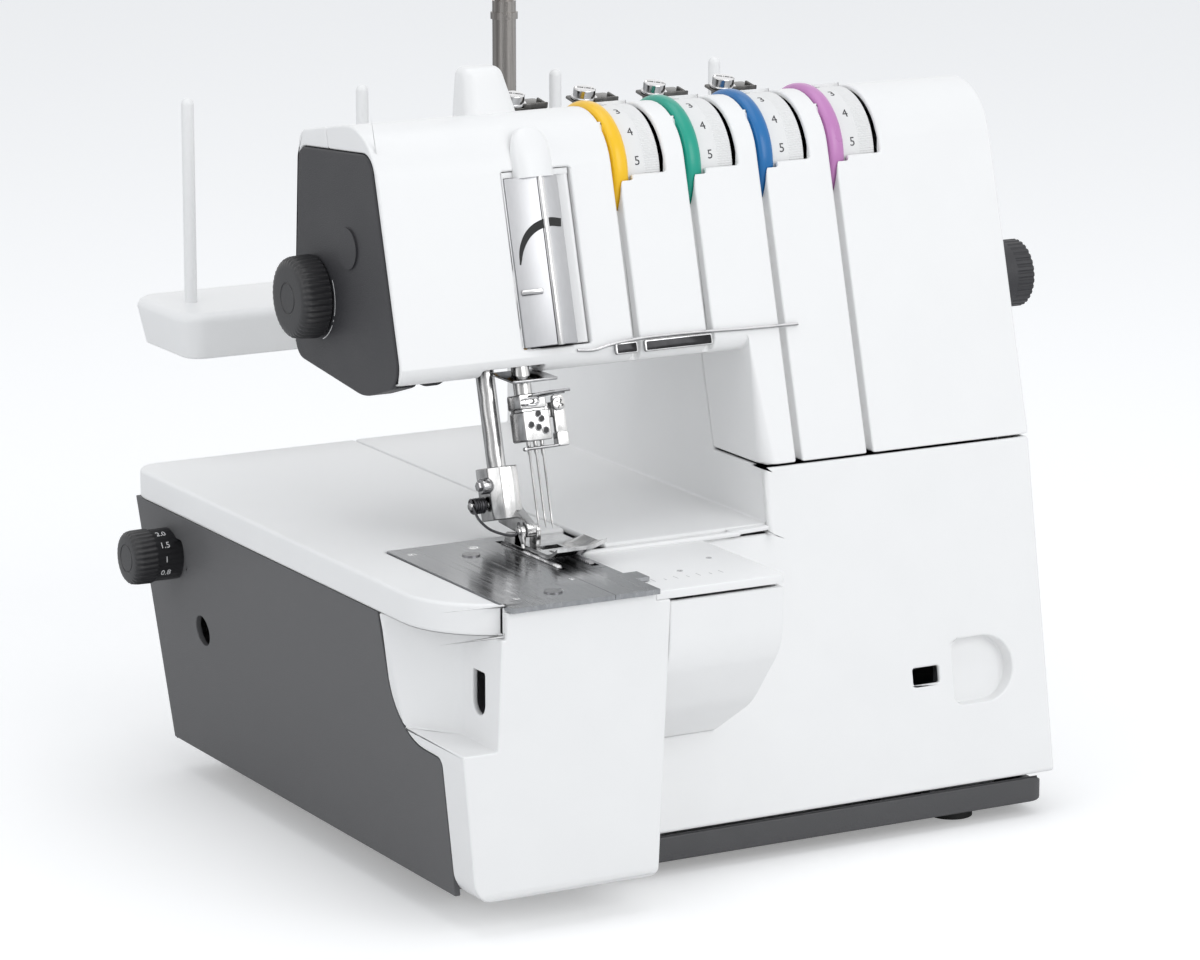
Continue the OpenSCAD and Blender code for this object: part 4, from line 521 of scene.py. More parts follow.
def inward(p, w):
    """Anticlockwise outline moved inward by w: each point moves by w (n0 + n1) / (1 + n0 . n1)."""
    e = np.roll(p, -1, 0) - p
    n = np.stack([-e[:, 1], e[:, 0]], 1) / np.maximum(np.linalg.norm(e, axis=1), 1e-9)[:, None]
    m = np.roll(n, 1, 0)
    return p + w * (m + n) / np.maximum(1 + (m * n).sum(1), 0.2)[:, None]


def stacked(p, steps):
    """Rows of an outline moved inward by w at height z, for each (w, z) in steps."""
    return np.array([np.column_stack([inward(p, w), np.full(len(p), z)]) for w, z in steps])


def slab(p, z0, z1, edge=0.3):
    """Rows of a plate with outline p from z0 to z1 whose edges are quarter rounds of radius edge."""
    low = [(edge * (1 - math.sin(a)), z0 + edge * (1 - math.cos(a))) for a in np.linspace(0, math.pi / 2, 4)]
    return stacked(p, low + [(w, z1 + z0 - z) for w, z in low[::-1]])


print("a plate of 20 by 10 mm has", len(slab(rectangle(0, 20, 0, 10, 2), 0, 1)), "rows")

# %% [markdown]
# ## Turned parts and wires
# Rods, dials and screws come off a lathe, so a profile of radius against height makes them. A wire is a circle
# carried along a path. Its side vector is carried on from point to point, so the tube never twists.


# %% Turned parts and wires
def circle(n):
    """n angles round a full turn, as [cos a, sin a] rows."""
    a = np.linspace(0, 2 * math.pi, n, endpoint=False)
    return np.column_stack([np.cos(a), np.sin(a)])


def lathe(profile, n=64):
    """Rows of a shape turned round the third axis. profile = [(height, radius), ...]."""
    return np.array([np.column_stack([r * circle(n), np.full(n, h)]) for h, r in profile])


def rounded_rod(h0, h1, r, edge=0.3):
    """Profile of a rod with rounded ends, for lathe()."""
    t = np.linspace(0, math.pi / 2, 4)
    low = [(h0 + edge * (1 - math.sin(a)), r - edge * (1 - math.cos(a))) for a in t[::-1]]
    return [(h0, r - edge)] + low + [(h1 + h0 - h, q) for h, q in low[::-1]] + [(h1, r - edge)]


def tube(path, r, n=12):
    """Rows of a round wire of radius r along a path. The side vector is carried on by removing its part along
    the new tangent at each point."""
    p = np.asarray(path, float)
    t = np.gradient(p, axis=0)
    t /= np.linalg.norm(t, axis=1)[:, None]
    side = np.cross(t[0], [0.3, 0.5, 0.8])
    cos, sin = circle(n)[:, :1], circle(n)[:, 1:]
    rows = []
    for q, d in zip(p, t):
        side = side - d * (side @ d)
        side /= np.linalg.norm(side)
        rows.append(q + r * (cos * side + sin * np.cross(d, side)))
    return np.array(rows)


def smooth_path(points, n=8):
    """Catmull-Rom curve through the points, n steps for each span."""
    p = np.asarray(points, float)
    p = np.vstack([2 * p[0] - p[1], p, 2 * p[-1] - p[-2]])
    t = np.linspace(0, 1, n, endpoint=False)[:, None]
    spans = [0.5 * (2 * b + (c - a) * t + (2 * a - 5 * b + 4 * c - d) * t ** 2 + (3 * b - a - 3 * c + d) * t ** 3)
             for a, b, c, d in zip(p[:-3], p[1:-2], p[2:-1], p[3:])]
    return np.vstack(spans + [p[-2:-1]])


print("a rod's profile has", len(rounded_rod(0, 10, 2)), "points")

# %% [markdown]
# ## Frames on the machine
# The head's front leans back by LEAN. A point on it is given by x, by its depth d behind the front and by s, the
# way up the slope from the seam. Turned parts on X axes use (y, z, x). So each part is drawn upright and flat,
# and three unit vectors put it in its place.

# %% Frames on the machine
LEAN = math.radians(15.1)
SEAM = (0, -103.83, 155.5)
X_AXIS, Y_AXIS, Z_AXIS = (1, 0, 0), (0, 1, 0), (0, 0, 1)
DEEP = (0, math.cos(LEAN), -math.sin(LEAN))
SLOPE = (0, math.sin(LEAN), math.cos(LEAN))


def placed(local, origin, u, v, w):
    """Local coordinates (a, b, c) to origin + a u + b v + c w."""
    return np.asarray(origin, float) + np.asarray(local, float) @ np.array([u, v, w], float)


def on_face(local):
    """Local (x, d, s) to the machine's frame."""
    return placed(local, SEAM, X_AXIS, DEEP, SLOPE)


def on_x(local, y=0, z=0, x=0):
    """Rows turned round an X axis at (y, z): local (b, c, a) goes to (x + a, y + b, z + c)."""
    return placed(local, (x, y, z), Y_AXIS, Z_AXIS, X_AXIS)


def yz_plate(corners, x0, x1, n=6):
    """(points, faces) of an upright plate from x0 to x1, its outline drawn in y and z."""
    return closed_rows(on_x(slab(outline(corners, n), x0, x1)))


def x_rod(y, z, x, h0, h1, r, edge, n=24):
    """(points, faces) of a rod along X at (y, z), from x + h0 to x + h1."""
    return closed_rows(on_x(lathe(rounded_rod(h0, h1, r, edge), n), y, z, x))


print("the head leans back by", round(math.degrees(LEAN), 1), "degrees")

# %% [markdown]
# ## Numbers
# Printed figures are thin raised letters from Blender's own font. Each is made a mesh while it is still flat,
# and its points are then laid on the face or wrapped round the drum that it belongs to.


# %% Raised numbers
def letters(name, text, size, place, *ride, depth=0.12):
    """Raised text. place() maps flat (x, y, height) in mm to the machine's frame."""
    curve = bpy.data.curves.new(name, "FONT")
    curve.body, curve.size, curve.extrude = text, size, depth / 2
    curve.align_x, curve.align_y = "CENTER", "CENTER"
    curve.resolution_u = 3
    holder = bpy.data.objects.new(name + "_flat", curve)
    flat = bpy.data.meshes.new_from_object(holder)
    points = np.empty(len(flat.vertices) * 3)
    flat.vertices.foreach_get("co", points)
    faces = [list(f.vertices) for f in flat.polygons]
    bpy.data.objects.remove(holder)
    return solid(name, place(points.reshape(-1, 3)), faces, *ride)


def round_drum(flat, x, y, z, radius, angle):
    """Flat (u, v, h) goes to the angle a = pi - angle - v / radius round the X axis at (y, z), at the distance
    radius + 0.03 + h. The angle is measured from the front, upward."""
    a = math.pi - (angle + flat[:, 1] / radius)
    r = radius + 0.03 + flat[:, 2]
    return np.column_stack([x + flat[:, 0], y + r * np.cos(a), z + r * np.sin(a)])


print("halfway up a drum of radius 10:", round_drum(np.zeros((1, 3)), 0, 0, 0, 10, math.pi / 2).round(2))

# %% [markdown]
# ## Tension dials
# Each dial is a white wheel with fine ribs on its right part and a glossy coloured ring on its left. The ribs
# are a cosine in the radius, which gives every rib the same soft form. The numbers stand round the wheel, one
# every 28 degrees.

# %% Tension dials
DIAL_Y, DIAL_Z = -44.134, 270.7
CHANNEL_X0, CHANNEL_PITCH = -45.5, 33.4
RING_X, RING_W, RING_R, RING_CROWN = -0.8, 7.6, 28.0, 3.4
WHEEL_W, WHEEL_R = 14.8, 25.5
RIBS, RIB_DEPTH = 160, 0.3
NUMBER_X, NUMBER_SIZE, NUMBER_STEP, FOUR_ANGLE = 11.4, 5.2, 28, 43


def ring_profile():
    """Radius of the ring along X: a superellipse r = 24.6 + 3.4 (1 - |t|^2.4)^(1/2.4), longer on its right."""
    x = np.linspace(-1, 1, 25)
    r = RING_R - RING_CROWN + RING_CROWN * (1 - np.abs(x) ** 2.4) ** (1 / 2.4)
    middle = RING_X + 0.42 * RING_W
    at = np.where(x < 0, middle + x * 0.42 * RING_W, middle + x * 0.58 * RING_W)
    return [(at[0], 20.0)] + list(zip(at, r)) + [(at[-1], 20.0)]


def ribbed(profile, ribs, depth, per):
    """Turned rows whose radius falls by k depth (1 - cos(n a)) / 2, with n ribs, for (x, r, k) in profile."""
    a = np.linspace(0, 2 * math.pi, ribs * per, endpoint=False)
    rows = []
    for x, r, k in profile:
        q = r - k * depth * (1 - np.cos(ribs * a)) / 2
        rows.append(np.column_stack([q * np.cos(a), q * np.sin(a), np.full(len(a), x)]))
    return np.array(rows)


WHEEL_X0, WHEEL_X1 = RING_X + RING_W + 0.05, RING_X + RING_W + WHEEL_W
WHEEL = [(x, WHEEL_R - drop, rib) for x, drop, rib in (
    (WHEEL_X0, 5.0, 0), (WHEEL_X0, 0, 0), (14.3, 0, 0), (14.6, 0, 0.2), (14.9, 0, 1), (WHEEL_X1 - 0.7, 0, 1),
    (WHEEL_X1 - 0.3, 0.15, 0.6), (WHEEL_X1, 0.6, 0), (WHEEL_X1, 5.0, 0))]
for i, hue in enumerate(("yellow", "green", "blue", "lilac")):
    body, x0 = "tension_%d" % (i + 1), CHANNEL_X0 + i * CHANNEL_PITCH
    piece("tension_ring_%d" % (i + 1), on_x(lathe(ring_profile(), 120), DIAL_Y, DIAL_Z, x0), body, "ring_" + hue,
          instead="dial_ring_%d" % (i + 1))
    piece("tension_wheel_%d" % (i + 1), on_x(ribbed(WHEEL, RIBS, RIB_DEPTH, 6), DIAL_Y, DIAL_Z, x0), body,
          "dial_white", instead="dial_%d" % (i + 1), crease=60)
    for value in range(10):
        angle = math.radians(FOUR_ANGLE + (4 - value) * NUMBER_STEP)
        letters("tension_number_%d_%d" % (i + 1, value), str(value), NUMBER_SIZE,
                lambda flat: round_drum(flat, x0 + NUMBER_X, DIAL_Y, DIAL_Z, WHEEL_R, angle),
                body, "ink", "black_plastic")
    print(body, "at x", x0, "mm")

# %% [markdown]
# ## Silver cover over the take-up
# The cover is a folded sheet: a flat on the left, a bright ridge, and a flat that falls back into the recess.
# Each is a prism on the leaning front, because a bent sheet's faces are flat and its folds are straight.

# %% Silver cover
COVER_S0, COVER_S1 = 57.6, 124.0
RIDGE_X0, RIDGE_X1, RIDGE_D = -83.5, -80.5, -5.0


def facet(corners, s0, s1, edge=0.25, n=5):
    """Rows of an upright prism on the head's front with outline corners [x, d, r], from s0 to s1."""
    p = anticlockwise(outline([[x, -d, r] for x, d, r in corners], n))
    return on_face(slab(p, s0, s1, edge) * (1, -1, 1))


left_flat = [[-95.5, -0.6, 0.6], [RIDGE_X0 + 0.1, RIDGE_D - 0.1, 0.3], [RIDGE_X0 + 0.1, RIDGE_D + 0.9, 0.2],
             [-94.6, 0.8, 0.2], [-94.6, 5, 0.2], [-95.5, 5, 0.2]]
ridge = [[RIDGE_X0 + 0.2, RIDGE_D + 0.5, 0.2], [RIDGE_X0 + 0.2, RIDGE_D - 0.15, 0.5],
         [RIDGE_X0 + 1.5, RIDGE_D - 0.75, 1.2], [RIDGE_X1 + 0.1, RIDGE_D + 0.1, 0.6],
         [RIDGE_X1 + 0.1, RIDGE_D + 1.0, 0.2]]
right_flat = [[RIDGE_X1, RIDGE_D + 0.4, 0.2], [-73.5, -3.2, 0.6], [-73.5, 8.6, 0.2], [-74.4, 8.6, 0.2],
              [-74.5, -2.2, 0.2], [RIDGE_X1, RIDGE_D + 1.3, 0.2]]
for name, corners, longer, look in (("take_up_left", left_flat, 0, "silver_panel"),
                                    ("take_up_ridge", ridge, 0.3, "bright_plated"),
                                    ("take_up_right", right_flat, 0, "silver_panel")):
    piece(name, facet(corners, COVER_S0 - longer, COVER_S1 + longer), "frame", look, instead="take_up_cover")
surround = [closed_rows(facet(corners, s0, 126.7)) for corners, s0 in (
    ([[-73.2, 3.8, 0.3], [-66.4, 0.3, 1.2], [-66.4, 9.6, 0.3], [-73.2, 9.6, 0.3]], COVER_S0),
    ([[-96.2, 1.0, 0.4], [-66.4, 1.0, 0.4], [-66.4, 9.6, 0.3], [-96.2, 9.6, 0.3]], 124.3),
    ([[-96.2, 0.3, 0.2], [-95.6, 0.3, 0.2], [-95.6, 5.6, 0.2], [-96.2, 5.6, 0.2]], COVER_S0))]
joined("take_up_surround", surround, "frame", "moulded_white", "white_shell", "take_up_cover")
print("cover from s", COVER_S0, "to", COVER_S1, "mm")

# %% [markdown]
# ## Thread slot, peg and hood
# The curved slot takes the needle threads past a small peg, and a white hump stands over the cover's top.
# The slot is a black band that follows the cover's skin, wide in the middle and pointed at its ends: painted
# shade where the cut in the cover is dark.


# %% Thread slot, peg and hood
def cover_skin(x):
    """Depth of the cover's front skin at x."""
    return np.interp(x, [-95.5, RIDGE_X0, RIDGE_X1, -73.5], [-0.6, RIDGE_D - 0.1, RIDGE_D + 0.4, -3.2])


def hump_rows():
    """White hump over the cover: half a superellipse across, scaled by k = (1 - t^4)^0.4 up the slope."""
    rows = []
    a = np.linspace(-math.pi / 2, math.pi / 2, 33)
    for t in np.sin(np.linspace(0, math.pi / 2, 18)):
        s, k, low = 123.6 + 20.4 * t, (1 - min(t, 0.9995) ** 4) ** 0.4, 1 - 0.5 * t ** 2
        x = -82.6 + 8.4 * k * np.sign(np.sin(a)) * np.abs(np.sin(a)) ** (2 / 3.0)
        d = 0.8 - (1.2 + 5.4 * low) * k * np.abs(np.cos(a)) ** (2 / 2.6)
        rows.append(np.column_stack([x, d, np.full(len(a), s)]))
    return np.array(rows)


line = smooth_path([(-93.6, 90.0), (-92.4, 96.0), (-89.6, 101.2), (-85.4, 104.4), (-80.0, 105.6), (-74.6, 105.0)])
half = 1.7 * np.sin(np.linspace(0.10, 1.9, len(line))) ** 0.9
along = np.gradient(line, axis=0)
side = np.column_stack([-along[:, 1], along[:, 0]]) / np.linalg.norm(along, axis=1)[:, None]
near, far = line + side * half[:, None], line - side * half[:, None]
band = [np.column_stack([p[:, 0], cover_skin(p[:, 0]) + d, p[:, 1]])
        for p, d in ((near, -0.25), (far, -0.25), (far, 0.35), (near, 0.35))]
# Black band on the cover's skin: painted shade of the slot's opening.
piece("take_up_slot_painted_shade", on_face(np.stack(band, 1)), "frame", "black_rubber", "black_plastic")
peg = placed(lathe(rounded_rod(-0.6, 8.0, 1.25, 0.6), 24), (-94.2, 0, 0), Z_AXIS, (-0.37, -0.93, 0), (0.93, -0.37, 0))
piece("take_up_peg", on_face(peg + (0, -1.6, 79)), "frame", "bright_plated", instead="take_up_cover")
piece("take_up_hood", on_face(hump_rows()), "frame", "moulded_white", "white_shell")
print("slot of", len(line), "rows")

# %% [markdown]
# ## Bright strips on the head
# Stamped strips with mirror faces and a wire lead the looper threads along the head's lower edge, and a
# flat guide lies under the head. They are bars on the leaning front with soft edges that catch the light. The
# mirror faces are near black, a painted dark reflection.

# %% Strips and guides
STRIP_S = 53.4


def edge_bar(x0, x1, half, r, h0, h1, edge):
    """(points, faces) of a bar on the head's lower edge that stands out from h0 to h1."""
    rows = slab(rectangle(x0, x1, -half, half, r), h0, h1, edge)
    return closed_rows(on_face(placed(rows, (0, 0, STRIP_S), X_AXIS, Z_AXIS, (0, -1, 0))))


wire_path = smooth_path([(-72.8, -0.4, 54.6), (-66, -1.3, 54.0), (-58, -1.6, 55.4), (-44, -1.3, 56.6),
                         (-20, -1.0, 56.6), (4, -1.0, 55.9), (28, -0.8, 55.6)], 6)
strips = [edge_bar(x0, x1, 2.3, 0.8, 0.05, 1.7, 0.35) for x0, x1 in ((-56.4, -46.4), (-43.2, -12.4))]
joined("edge_strips", strips + [closed_rows(on_face(tube(wire_path, 0.6, 10)))], "frame", "bright_plated", None,
       "thread_strips")
# The strips' mirror faces are near black: a painted dark reflection.
faces = [edge_bar(x0, x1, 1.75, 0.6, 1.5, 1.78, 0.1) for x0, x1 in ((-55.8, -47.0), (-42.6, -13.0))]
joined("edge_strip_faces", faces, "frame", "mirror_dark", None, "thread_strips")
piece("under_head_guide", slab(rectangle(-104.3, -84.5, -95.6, -76.0, 0.8), 198.85, 199.95), "frame",
      "dark_chrome", None, "thread_strips")
print("strips:", len(strips))

# %% [markdown]
# ## Needle clamp
# The clamp is a small steel block in two steps with five screw holes and an arm on its right. The blocks are
# drawn in x and s, as one sees them from the front, and swept in depth.

# %% Needle clamp
CLAMP_S0, CLAMP_S1 = 21.3, 39.9
NEEDLE_X, NEEDLE_D, POINT_S, NEEDLE_PITCH = -95.5, 1.7, -13.5, 3
HOLES = ((-2.8, 6.3), (0.3, 5.1), (3.3, 3.6), (1.9, 8.3), (0.7, 10.4))


def face_block(x0, x1, d0, d1, s0, s1, r, edge):
    """(points, faces) of a rounded block on the head's front, its outline drawn in x and s."""
    return closed_rows(on_face(slab(rectangle(x0, x1, s0, s1, r, 5), d0, d1, edge)[:, :, [0, 2, 1]]))


def face_rod(x, s, d0, d1, r, edge=0.25, n=28):
    """(points, faces) of a rod that stands out of the head's front at (x, s), from depth d0 to d1."""
    return closed_rows(on_face(lathe(rounded_rod(d0, d1, r, edge), n)[:, :, [0, 2, 1]] + (x, 0, s)))


blocks = [face_block(-101.3, -89.6, -2.4, 9.4, CLAMP_S0, CLAMP_S0 + 11.8, 0.9, 0.5),
          face_block(-101.6, -89.9, -1.4, 9.4, CLAMP_S0 + 12.6, CLAMP_S1, 0.9, 0.5),
          face_block(-100.6, -90.6, -0.4, 9.0, CLAMP_S0 + 11.4, CLAMP_S0 + 13.0, 0.3, 0.2),
          face_block(-89.8, -83.7, 1.4, 5.4, CLAMP_S0 + 8.5, CLAMP_S0 + 14.5, 0.8, 0.4),
          face_block(-86.9, -81.7, -0.8, 1.2, CLAMP_S0 + 1.2, CLAMP_S1 - 1.4, 1.6, 0.4),
          face_block(-87.7, -82.5, -2.9, 1.2, CLAMP_S0 - 3.2, CLAMP_S0 + 2.6, 0.9, 0.5)]
joined("clamp_block", blocks, "needle_unit", "polished_steel", None, "needle_clamp")
# Each hole is a thin black disc on the clamp's face: painted shade where the hole's inside is dark.
holes = [face_rod(NEEDLE_X + x, CLAMP_S0 + s, -2.62, -2.0, 1.15, 0.1) for x, s in HOLES]
joined("clamp_holes", holes, "needle_unit", "black_plastic", "black_plastic", "needle_clamp")
print("clamp blocks:", len(blocks), "holes:", len(holes))

# %% [markdown]
# ## Rims and thread wires of the clamp
# A bright rim stands round every hole, and thin bent wires lead the threads past the clamp. All are tubes: a rim
# is a tube along a circle, a wire a tube along a smooth curve through a few measured points.

# %% Rims and wires
rims = []
a = np.linspace(0, 2 * math.pi, 25)
for x, s in HOLES:
    ring = np.column_stack([NEEDLE_X + x + 1.35 * np.cos(a), np.full(25, -2.45), CLAMP_S0 + s + 1.35 * np.sin(a)])
    rims.append(closed_rows(on_face(tube(ring, 0.24, 8))))
WIRES = (([(-100.6, -2.2, 35.6), (-99.6, -3.9, 35.4), (-96.6, -4.3, 35.2), (-94.5, -3.6, 36.4),
           (-95.0, -3.8, 37.8), (-98.0, -4.3, 38.0), (-100.4, -4.0, 37.6)], 0.5),
         ([(-97.0, -3.7, 39.0), (-92.0, -4.1, 39.4), (-86.0, -3.9, 39.6), (-80.4, -3.9, 39.7)], 0.62),
         ([(-94.0, -3.0, 38.2), (-88.0, -3.4, 38.8), (-82.6, -3.4, 38.9)], 0.45),
         ([(-101.4, -1.6, 18.4), (-95.0, -2.0, 18.5), (-88.6, -2.0, 18.6), (-87.0, -2.2, 18.8)], 0.62))
wires = [closed_rows(on_face(tube(smooth_path(points), r, 10))) for points, r in WIRES]
joined("clamp_wires", rims + wires + [face_rod(-101.6, 18.4, -2.2, -0.4, 0.8)], "needle_unit", "dark_chrome",
       None, "needle_clamp")
print("rims:", len(rims), "wires:", len(wires))

# %% [markdown]
# ## Clamp screw and needles
# A cheese head screw with a cross slot closes the clamp. Its crown is a grid of rings, sunk wherever a plus sign
# lies. Three needles stand side by side, the left one lowest; each is turned, with a point, an eye's waist, a
# blade and a thicker shank.


# %% Clamp screw and needles
def cross_screw(x, s, d, r, depth, n=96):
    """Cheese head of radius r on the head's front. Its crown bulges by 0.5 and sinks by 0.75 where
    min(|x|, |s|) < 0.17 r, inside 0.72 r."""
    a = np.linspace(0, 2 * math.pi, n, endpoint=False)
    rows = [np.column_stack([r * np.cos(a), np.full(n, h), r * np.sin(a)]) for h in (depth, 0.35)]
    for q in np.linspace(0, 1, 24)[:0:-1]:
        x1, s1 = r * q * np.cos(a + 0.5), r * q * np.sin(a + 0.5)
        slot = (np.minimum(np.abs(x1), np.abs(s1)) < 0.17 * r) & (q < 0.72)
        h = 0.35 - 0.5 * np.sqrt(np.maximum(1 - (q * 0.97) ** 2, 0)) + 0.75 * slot
        rows.append(np.column_stack([r * q * np.cos(a), h, r * q * np.sin(a)]))
    return closed_rows(on_face(np.array(rows) + (x, d, s)))


joined("clamp_screw", [cross_screw(-85.0, CLAMP_S0 + 13.4, -2.6, 2.7, 2.2)], "needle_unit", "polished_steel",
       None, "needle_clamp", crease=25)
NEEDLE = [(0, 0.05), (1.2, 0.22), (3.5, 0.43), (5.0, 0.40), (6.4, 0.33), (7.2, 0.45), (28.5, 0.45), (30.0, 0.8),
          (39.5, 0.8)]
needles = [closed_rows(on_face(lathe(NEEDLE, 16) + (NEEDLE_X + NEEDLE_PITCH * k, NEEDLE_D, POINT_S + (1 - k) * 0.5)))
           for k in (-1, 0, 1)]
joined("needle_set", needles, "needle_unit", "polished_steel", None, "needles")
print("needles:", len(needles))

# %% [markdown]
# ## Foot holder
# The holder is a machined block with a rounded back and a lug for the foot's hinge. A screw head stands on its
# left. The block is a prism up the slope, the lug a plate drawn from the side.

# %% Foot holder
SOLE_Z, HINGE_Y, HINGE_Z = 134.2, -100.575, 141.2
HOLDER_X, HOLDER_S0, HOLDER_S1 = -110.5, -7.5, 13.3
back = [[HOLDER_X, 30, 5], [HOLDER_X, 16.5, 2.5], [-107.1, 11.9, 0.8], [-99.3, 11.9, 0.6], [-99.3, 30, 2]]
holder = closed_rows(facet(back, HOLDER_S0, HOLDER_S1, 0.45, 6))
lug = yz_plate([[HINGE_Y - 3, HINGE_Z - 2.6, 2.2], [HINGE_Y + 22, HINGE_Z - 1, 1], [HINGE_Y + 20, HINGE_Z + 9, 1],
                [HINGE_Y + 12, HINGE_Z + 9, 2], [HINGE_Y - 3, HINGE_Z + 2.6, 2.2]], -102.5, -98.5)
joined("foot_holder_block", [holder, lug], "presser_unit", "polished_steel", None, "foot_holder")
SCREW_Y, SCREW_Z = on_face([[0, 17.5, 6.4]])[0, 1:]
head = x_rod(SCREW_Y, SCREW_Z, HOLDER_X, -3.2, 0.4, 3.2, 0.5, 36)
hexagon = x_rod(SCREW_Y, SCREW_Z, HOLDER_X, -4.6, -3.0, 2.0, 0.3, 6)
joined("holder_screw", [head, hexagon], "presser_unit", "dark_chrome", None, "foot_holder")
print("holder from s", HOLDER_S0, "to", HOLDER_S1, "mm")

# %% [markdown]
# ## Foot spring
# A coil of five turns sits on a pin at the holder's left, and its long end bends down to the foot. The coil is a
# helix, and the end a smooth curve from the coil's last point.

# %% Foot spring
SPRING_Y, SPRING_Z = on_face([[0, 21, -1.0]])[0, 1:]
TURNS, COIL_R, COIL_LONG, WIRE_R = 5.2, 2.7, 5.2, 0.55
turns = np.linspace(0, TURNS * 2 * math.pi, 150)
coil = np.column_stack([-111.4 - COIL_LONG * turns / turns[-1], SPRING_Y + COIL_R * np.cos(turns),
                        SPRING_Z + COIL_R * np.sin(turns)])
lead = smooth_path([coil[-1], (-117.0, SPRING_Y - 3, SPRING_Z - 1.4), (-116.0, SPRING_Y - 6.5, SPRING_Z - 5.0),
                    (-112.5, SPRING_Y - 10.5, SPRING_Z - 8.2), (-106.5, SPRING_Y - 16.5, SPRING_Z - 9.2),
                    (-103.6, HINGE_Y + 2.2, HINGE_Z + 3.0)])
joined("spring_wire", [closed_rows(tube(path, WIRE_R, 10)) for path in (coil, lead)], "presser_unit",
       "dark_steel", None, "foot_spring")
joined("spring_pin", [x_rod(SPRING_Y, SPRING_Z, HOLDER_X, -7.4, 0.2, 1.7, 0.5)], "presser_unit", "polished_steel",
       None, "foot_spring")
print("spring turns:", TURNS)

# %% [markdown]
# ## Presser foot
# The foot is a thin stamped sole with a turned up front that rises to the right like a sledge runner. Four
# sheets are laid round the needles' opening, so it is a real hole. Two ears and a pin hang the foot on its
# holder, and a low wall stiffens its left side.


# %% Presser foot
def sole_part(x0, x1, y0, y1, thick=1.5, up=0.0):
    """Part of the sole between x0 and x1, y0 and y1. With R = max(0, x + 90.5) and F = max(0, -y - 119), the
    lift is 0.10 R^1.55 clip((-y - 101) / 8) + 0.085 F^1.75 (1 - 0.35 clip(R / 10))."""
    X, Y = np.meshgrid(np.linspace(x0, x1, max(int((x1 - x0) / 0.5), 3)),
                       np.linspace(y1, y0, max(int((y1 - y0) / 0.6), 3)), indexing="ij")
    right, front = np.maximum(X + 90.5, 0), np.maximum(-Y - 119.0, 0)
    lift = (0.10 * right ** 1.55 * np.clip((-Y - 101) / 8, 0, 1)
            + 0.085 * front ** 1.75 * (1 - 0.35 * np.clip(right / 10, 0, 1)))
    low = np.stack([X, Y, SOLE_Z + up + lift], -1)
    return closed_rows(np.concatenate([low, low[:, ::-1] + (0, 0, thick)], 1))


SOLE = ((-102.7, -80.6, -106.0, -90.2), (-102.7, -80.6, -127.8, -111.7), (-102.7, -100.2, -111.8, -105.9),
        (-90.8, -80.6, -111.8, -105.9))
EAR_X = -104.8
ear = [[HINGE_Y - 2, SOLE_Z + 0.8, 0.3], [HINGE_Y + 4, SOLE_Z + 0.8, 0.3], [HINGE_Y + 2.8, HINGE_Z + 2.4, 2.4],
       [HINGE_Y - 2.8, HINGE_Z + 2.4, 2.4]]
low_wall = [[-104.0, SOLE_Z + 0.6, 0.3], [-88.0, SOLE_Z + 0.6, 0.3], [-89.5, SOLE_Z + 4.6, 1.5],
            [-99.5, SOLE_Z + 6.5, 2.0]]
foot = [sole_part(*part) for part in SOLE] + [yz_plate(ear, x0, x0 + 2, 8) for x0 in (EAR_X, -98.2)]
foot += [x_rod(HINGE_Y, HINGE_Z, EAR_X, -0.8, 9.2, 1.5, 0.4), yz_plate(low_wall, EAR_X, EAR_X + 1.2)]
joined("foot_sole", foot, "foot", "polished_steel", None, "presser_foot", crease=30)
# The slots are thin black strips on the sole: painted shade where the openings are dark.
slots = [sole_part(x0, x0 + 1.2, -127.0, -114.4, 0.4, 1.16) for x0 in (-99.2, -93.2)]
joined("foot_slot_painted_shade", slots, "foot", "black_plastic", "black_plastic", "presser_foot")
print("foot pieces:", len(foot))

# %% [markdown]
# ## Feed teeth
# A row of saw teeth reaches up through the plate beside the foot and carries the cloth. One toothed outline,
# drawn from the side and given a width, makes the whole row.


# %% Feed teeth
def saw(x0, x1, y0, y1, pitch=1.25, foot_z=133.0, tip_z=133.8, thick=2.15):
    """(points, faces) of a saw blade along Y: each tooth rises over 0.68 of the pitch, is flat for a tenth and
    falls over a fifth."""
    n = int((y1 - y0) / pitch)
    y = ((np.arange(n)[:, None] + (0, 0.68, 0.78, 0.98)) * pitch + y0).ravel()
    z = np.tile([foot_z, tip_z, tip_z, foot_z], n)
    ring = np.concatenate([np.column_stack([y, z]), [[y[-1], foot_z - thick], [y[0], foot_z - thick]]])
    return closed_rows(np.array([np.column_stack([np.full(len(ring), x), ring]) for x in (x0, x1)]))


row = saw(-104.5, -102.85, -131.0, -85.0)
joined("feed_teeth", [row], "feed", "bright_plated", "shaft_steel", crease=20)
print("points in the row of teeth:", len(row[0]))

# %% [markdown]
# ## Post on the crest
# The post narrows upward and ends in a soft edge. Its outline is worked out anew at each height.


# %% Post on the crest
def post_rows():
    """Rounded rectangle whose right side goes from x = -73.5 at z = 294 to -80 at 315 and whose half depth falls
    from 9 to 6, closed by a quarter round of radius 3."""
    rows = []
    for z in list(np.linspace(288, 312, 9)) + [312 + 3 * math.sin(a) for a in np.linspace(0.25, math.pi / 2, 7)]:
        k = np.clip((z - 294) / 21, 0, 1)
        w = 3 - math.sqrt(max(9 - max(z - 312, 0) ** 2, 0))
        h = 9 - 3 * k
        p = rectangle(-97, -73.5 - 6.5 * k, -h, h, 4.6, 7)
        rows.append(np.column_stack([inward(p, w) + (0, -36.73), np.full(len(p), z)]))
    return np.array(rows)


piece("crest_post", post_rows(), "frame", "moulded_white", None, "top_post", crease=50)
print("post rows:", len(post_rows()))

